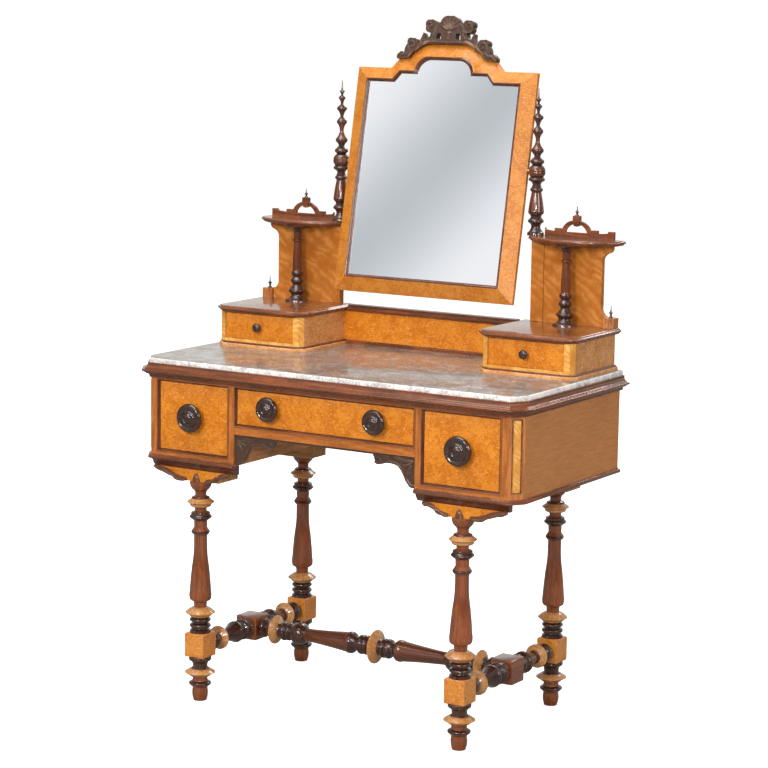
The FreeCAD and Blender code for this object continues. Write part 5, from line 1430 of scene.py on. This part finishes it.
def lamp(name, place, target, size, power):
    """A square soft light that faces its target."""
    data = bpy.data.lights.new(name, "AREA")
    data.energy = power
    data.size = size
    lamp_object = bpy.data.objects.new(name, data)
    lamp_object.location = place
    way = Vector(target) - Vector(place)
    lamp_object.rotation_euler = way.to_track_quat("-Z", "Y").to_euler()
    bpy.context.scene.collection.objects.link(lamp_object)


def studio_sky(scene):
    """White to the eye.  In reflections it is a dim room with a pale wall behind, and a
    bright wall with a soft grey band in front, which gives the glass its gradient."""
    world = bpy.data.worlds.new("Studio")
    scene.world = world
    world.use_nodes = True
    tree = world.node_tree
    tree.nodes.clear()
    way = add(tree, "ShaderNodeTexCoord").outputs["Generated"]
    parts = add(tree, "ShaderNodeSeparateXYZ", {0: way})
    x, z = parts.outputs["X"], parts.outputs["Z"]
    slope = math_node(tree, "SUBTRACT",
                      math_node(tree, "MULTIPLY_ADD", x, 36.0, 36.0 * 0.505),
                      math_node(tree, "MULTIPLY_ADD", z, 24.0, -24.0 * 0.248))
    glow = span(tree, math_node(tree, "ABSOLUTE", slope), 0.0, 1.45)
    wall = mix(tree, glow, (0.565, 0.595, 0.625), (0.97, 0.97, 1.0))
    window = add(tree, "ShaderNodeVectorMath", {0: way, 1: (-0.505, -0.826, 0.248)},
                 operation="DISTANCE").outputs["Value"]
    room = mix(tree, span(tree, z, -0.1, 0.8), (0.09, 0.085, 0.08), (0.46, 0.46, 0.46))
    behind = math_node(tree, "MULTIPLY", span(tree, parts.outputs["Y"], 0.35, 0.75),
                       span(tree, z, 0.50, 0.30))
    room = mix(tree, behind, room, (0.80, 0.79, 0.76))
    colour = mix(tree, span(tree, window, 0.16, 0.42), wall, room)
    seen = add(tree, "ShaderNodeLightPath").outputs["Is Camera Ray"]
    colour = mix(tree, seen, colour, (1, 1, 1))
    back = add(tree, "ShaderNodeBackground", {"Color": colour, "Strength": 1.0})
    end = tree.nodes.new("ShaderNodeOutputWorld")
    tree.links.new(back.outputs[0], end.inputs["Surface"])


def set_camera(scene, lens):
    """Stands to the right of the front, a little above the marble, looking slightly down."""
    yaw, pitch, roll = 0.54878, 0.15589, 0.0151
    ahead = Vector((-math.sin(yaw) * math.cos(pitch), math.cos(yaw) * math.cos(pitch),
                    -math.sin(pitch)))
    level = Vector((math.cos(yaw), math.sin(yaw), 0))
    rise = level.cross(ahead)
    right = level * math.cos(roll) + rise * math.sin(roll)
    up = rise * math.cos(roll) - level * math.sin(roll)
    data = bpy.data.cameras.new("Camera")
    data.lens = lens
    data.sensor_width = 36.0
    data.clip_end = 6000
    camera = bpy.data.objects.new("Camera", data)
    turn = Matrix((right, up, -ahead)).transposed().to_4x4()
    camera.matrix_world = Matrix.Translation((2.9468, -4.8230, 1.6081)) @ turn
    scene.collection.objects.link(camera)
    scene.camera = camera


class DRESSING_PT_panel(bpy.types.Panel):
    """Lists the table's pieces in the order they are made"""
    bl_label = "Dressing Table"
    bl_idname = "DRESSING_PT_panel"
    bl_space_type = "VIEW_3D"
    bl_region_type = "UI"
    bl_category = "Dressing Table"

    def draw(self, context):
        for step in STEPS:
            self.layout.operator(step.bl_idname)
        for settings in (context.scene.dressing_woods, context.scene.dressing_sizes,
                         context.scene.dressing_stage):
            box = self.layout.box()
            for key in settings.bl_rna.properties.keys():
                if key not in ("rna_type", "name"):
                    box.prop(settings, key)


STEPS = (DRESSING_OT_finishes, DRESSING_OT_boards, DRESSING_OT_marble, DRESSING_OT_cornice,
         DRESSING_OT_trims, DRESSING_OT_corner_beads, DRESSING_OT_base, DRESSING_OT_legs,
         DRESSING_OT_stretchers, DRESSING_OT_drawers, DRESSING_OT_boxes,
         DRESSING_OT_shelves, DRESSING_OT_posts, DRESSING_OT_mirror_slip,
         DRESSING_OT_carving, DRESSING_OT_stage)
GROUPS = (("dressing_woods", WoodColours), ("dressing_sizes", MakingSizes),
          ("dressing_stage", StageSettings))


def register():
    for key, kind in GROUPS:
        bpy.utils.register_class(kind)
        setattr(bpy.types.Scene, key, bpy.props.PointerProperty(type=kind))
    for kind in STEPS + (DRESSING_PT_panel,):
        bpy.utils.register_class(kind)


def unregister():
    for kind in (DRESSING_PT_panel,) + STEPS[::-1]:
        bpy.utils.unregister_class(kind)
    for key, kind in GROUPS[::-1]:
        delattr(bpy.types.Scene, key)
        bpy.utils.unregister_class(kind)


def main():
    register()
    for step in STEPS:
        family, name = step.bl_idname.split(".")
        getattr(getattr(bpy.ops, family), name)()


if __name__ == "__main__":
    main()
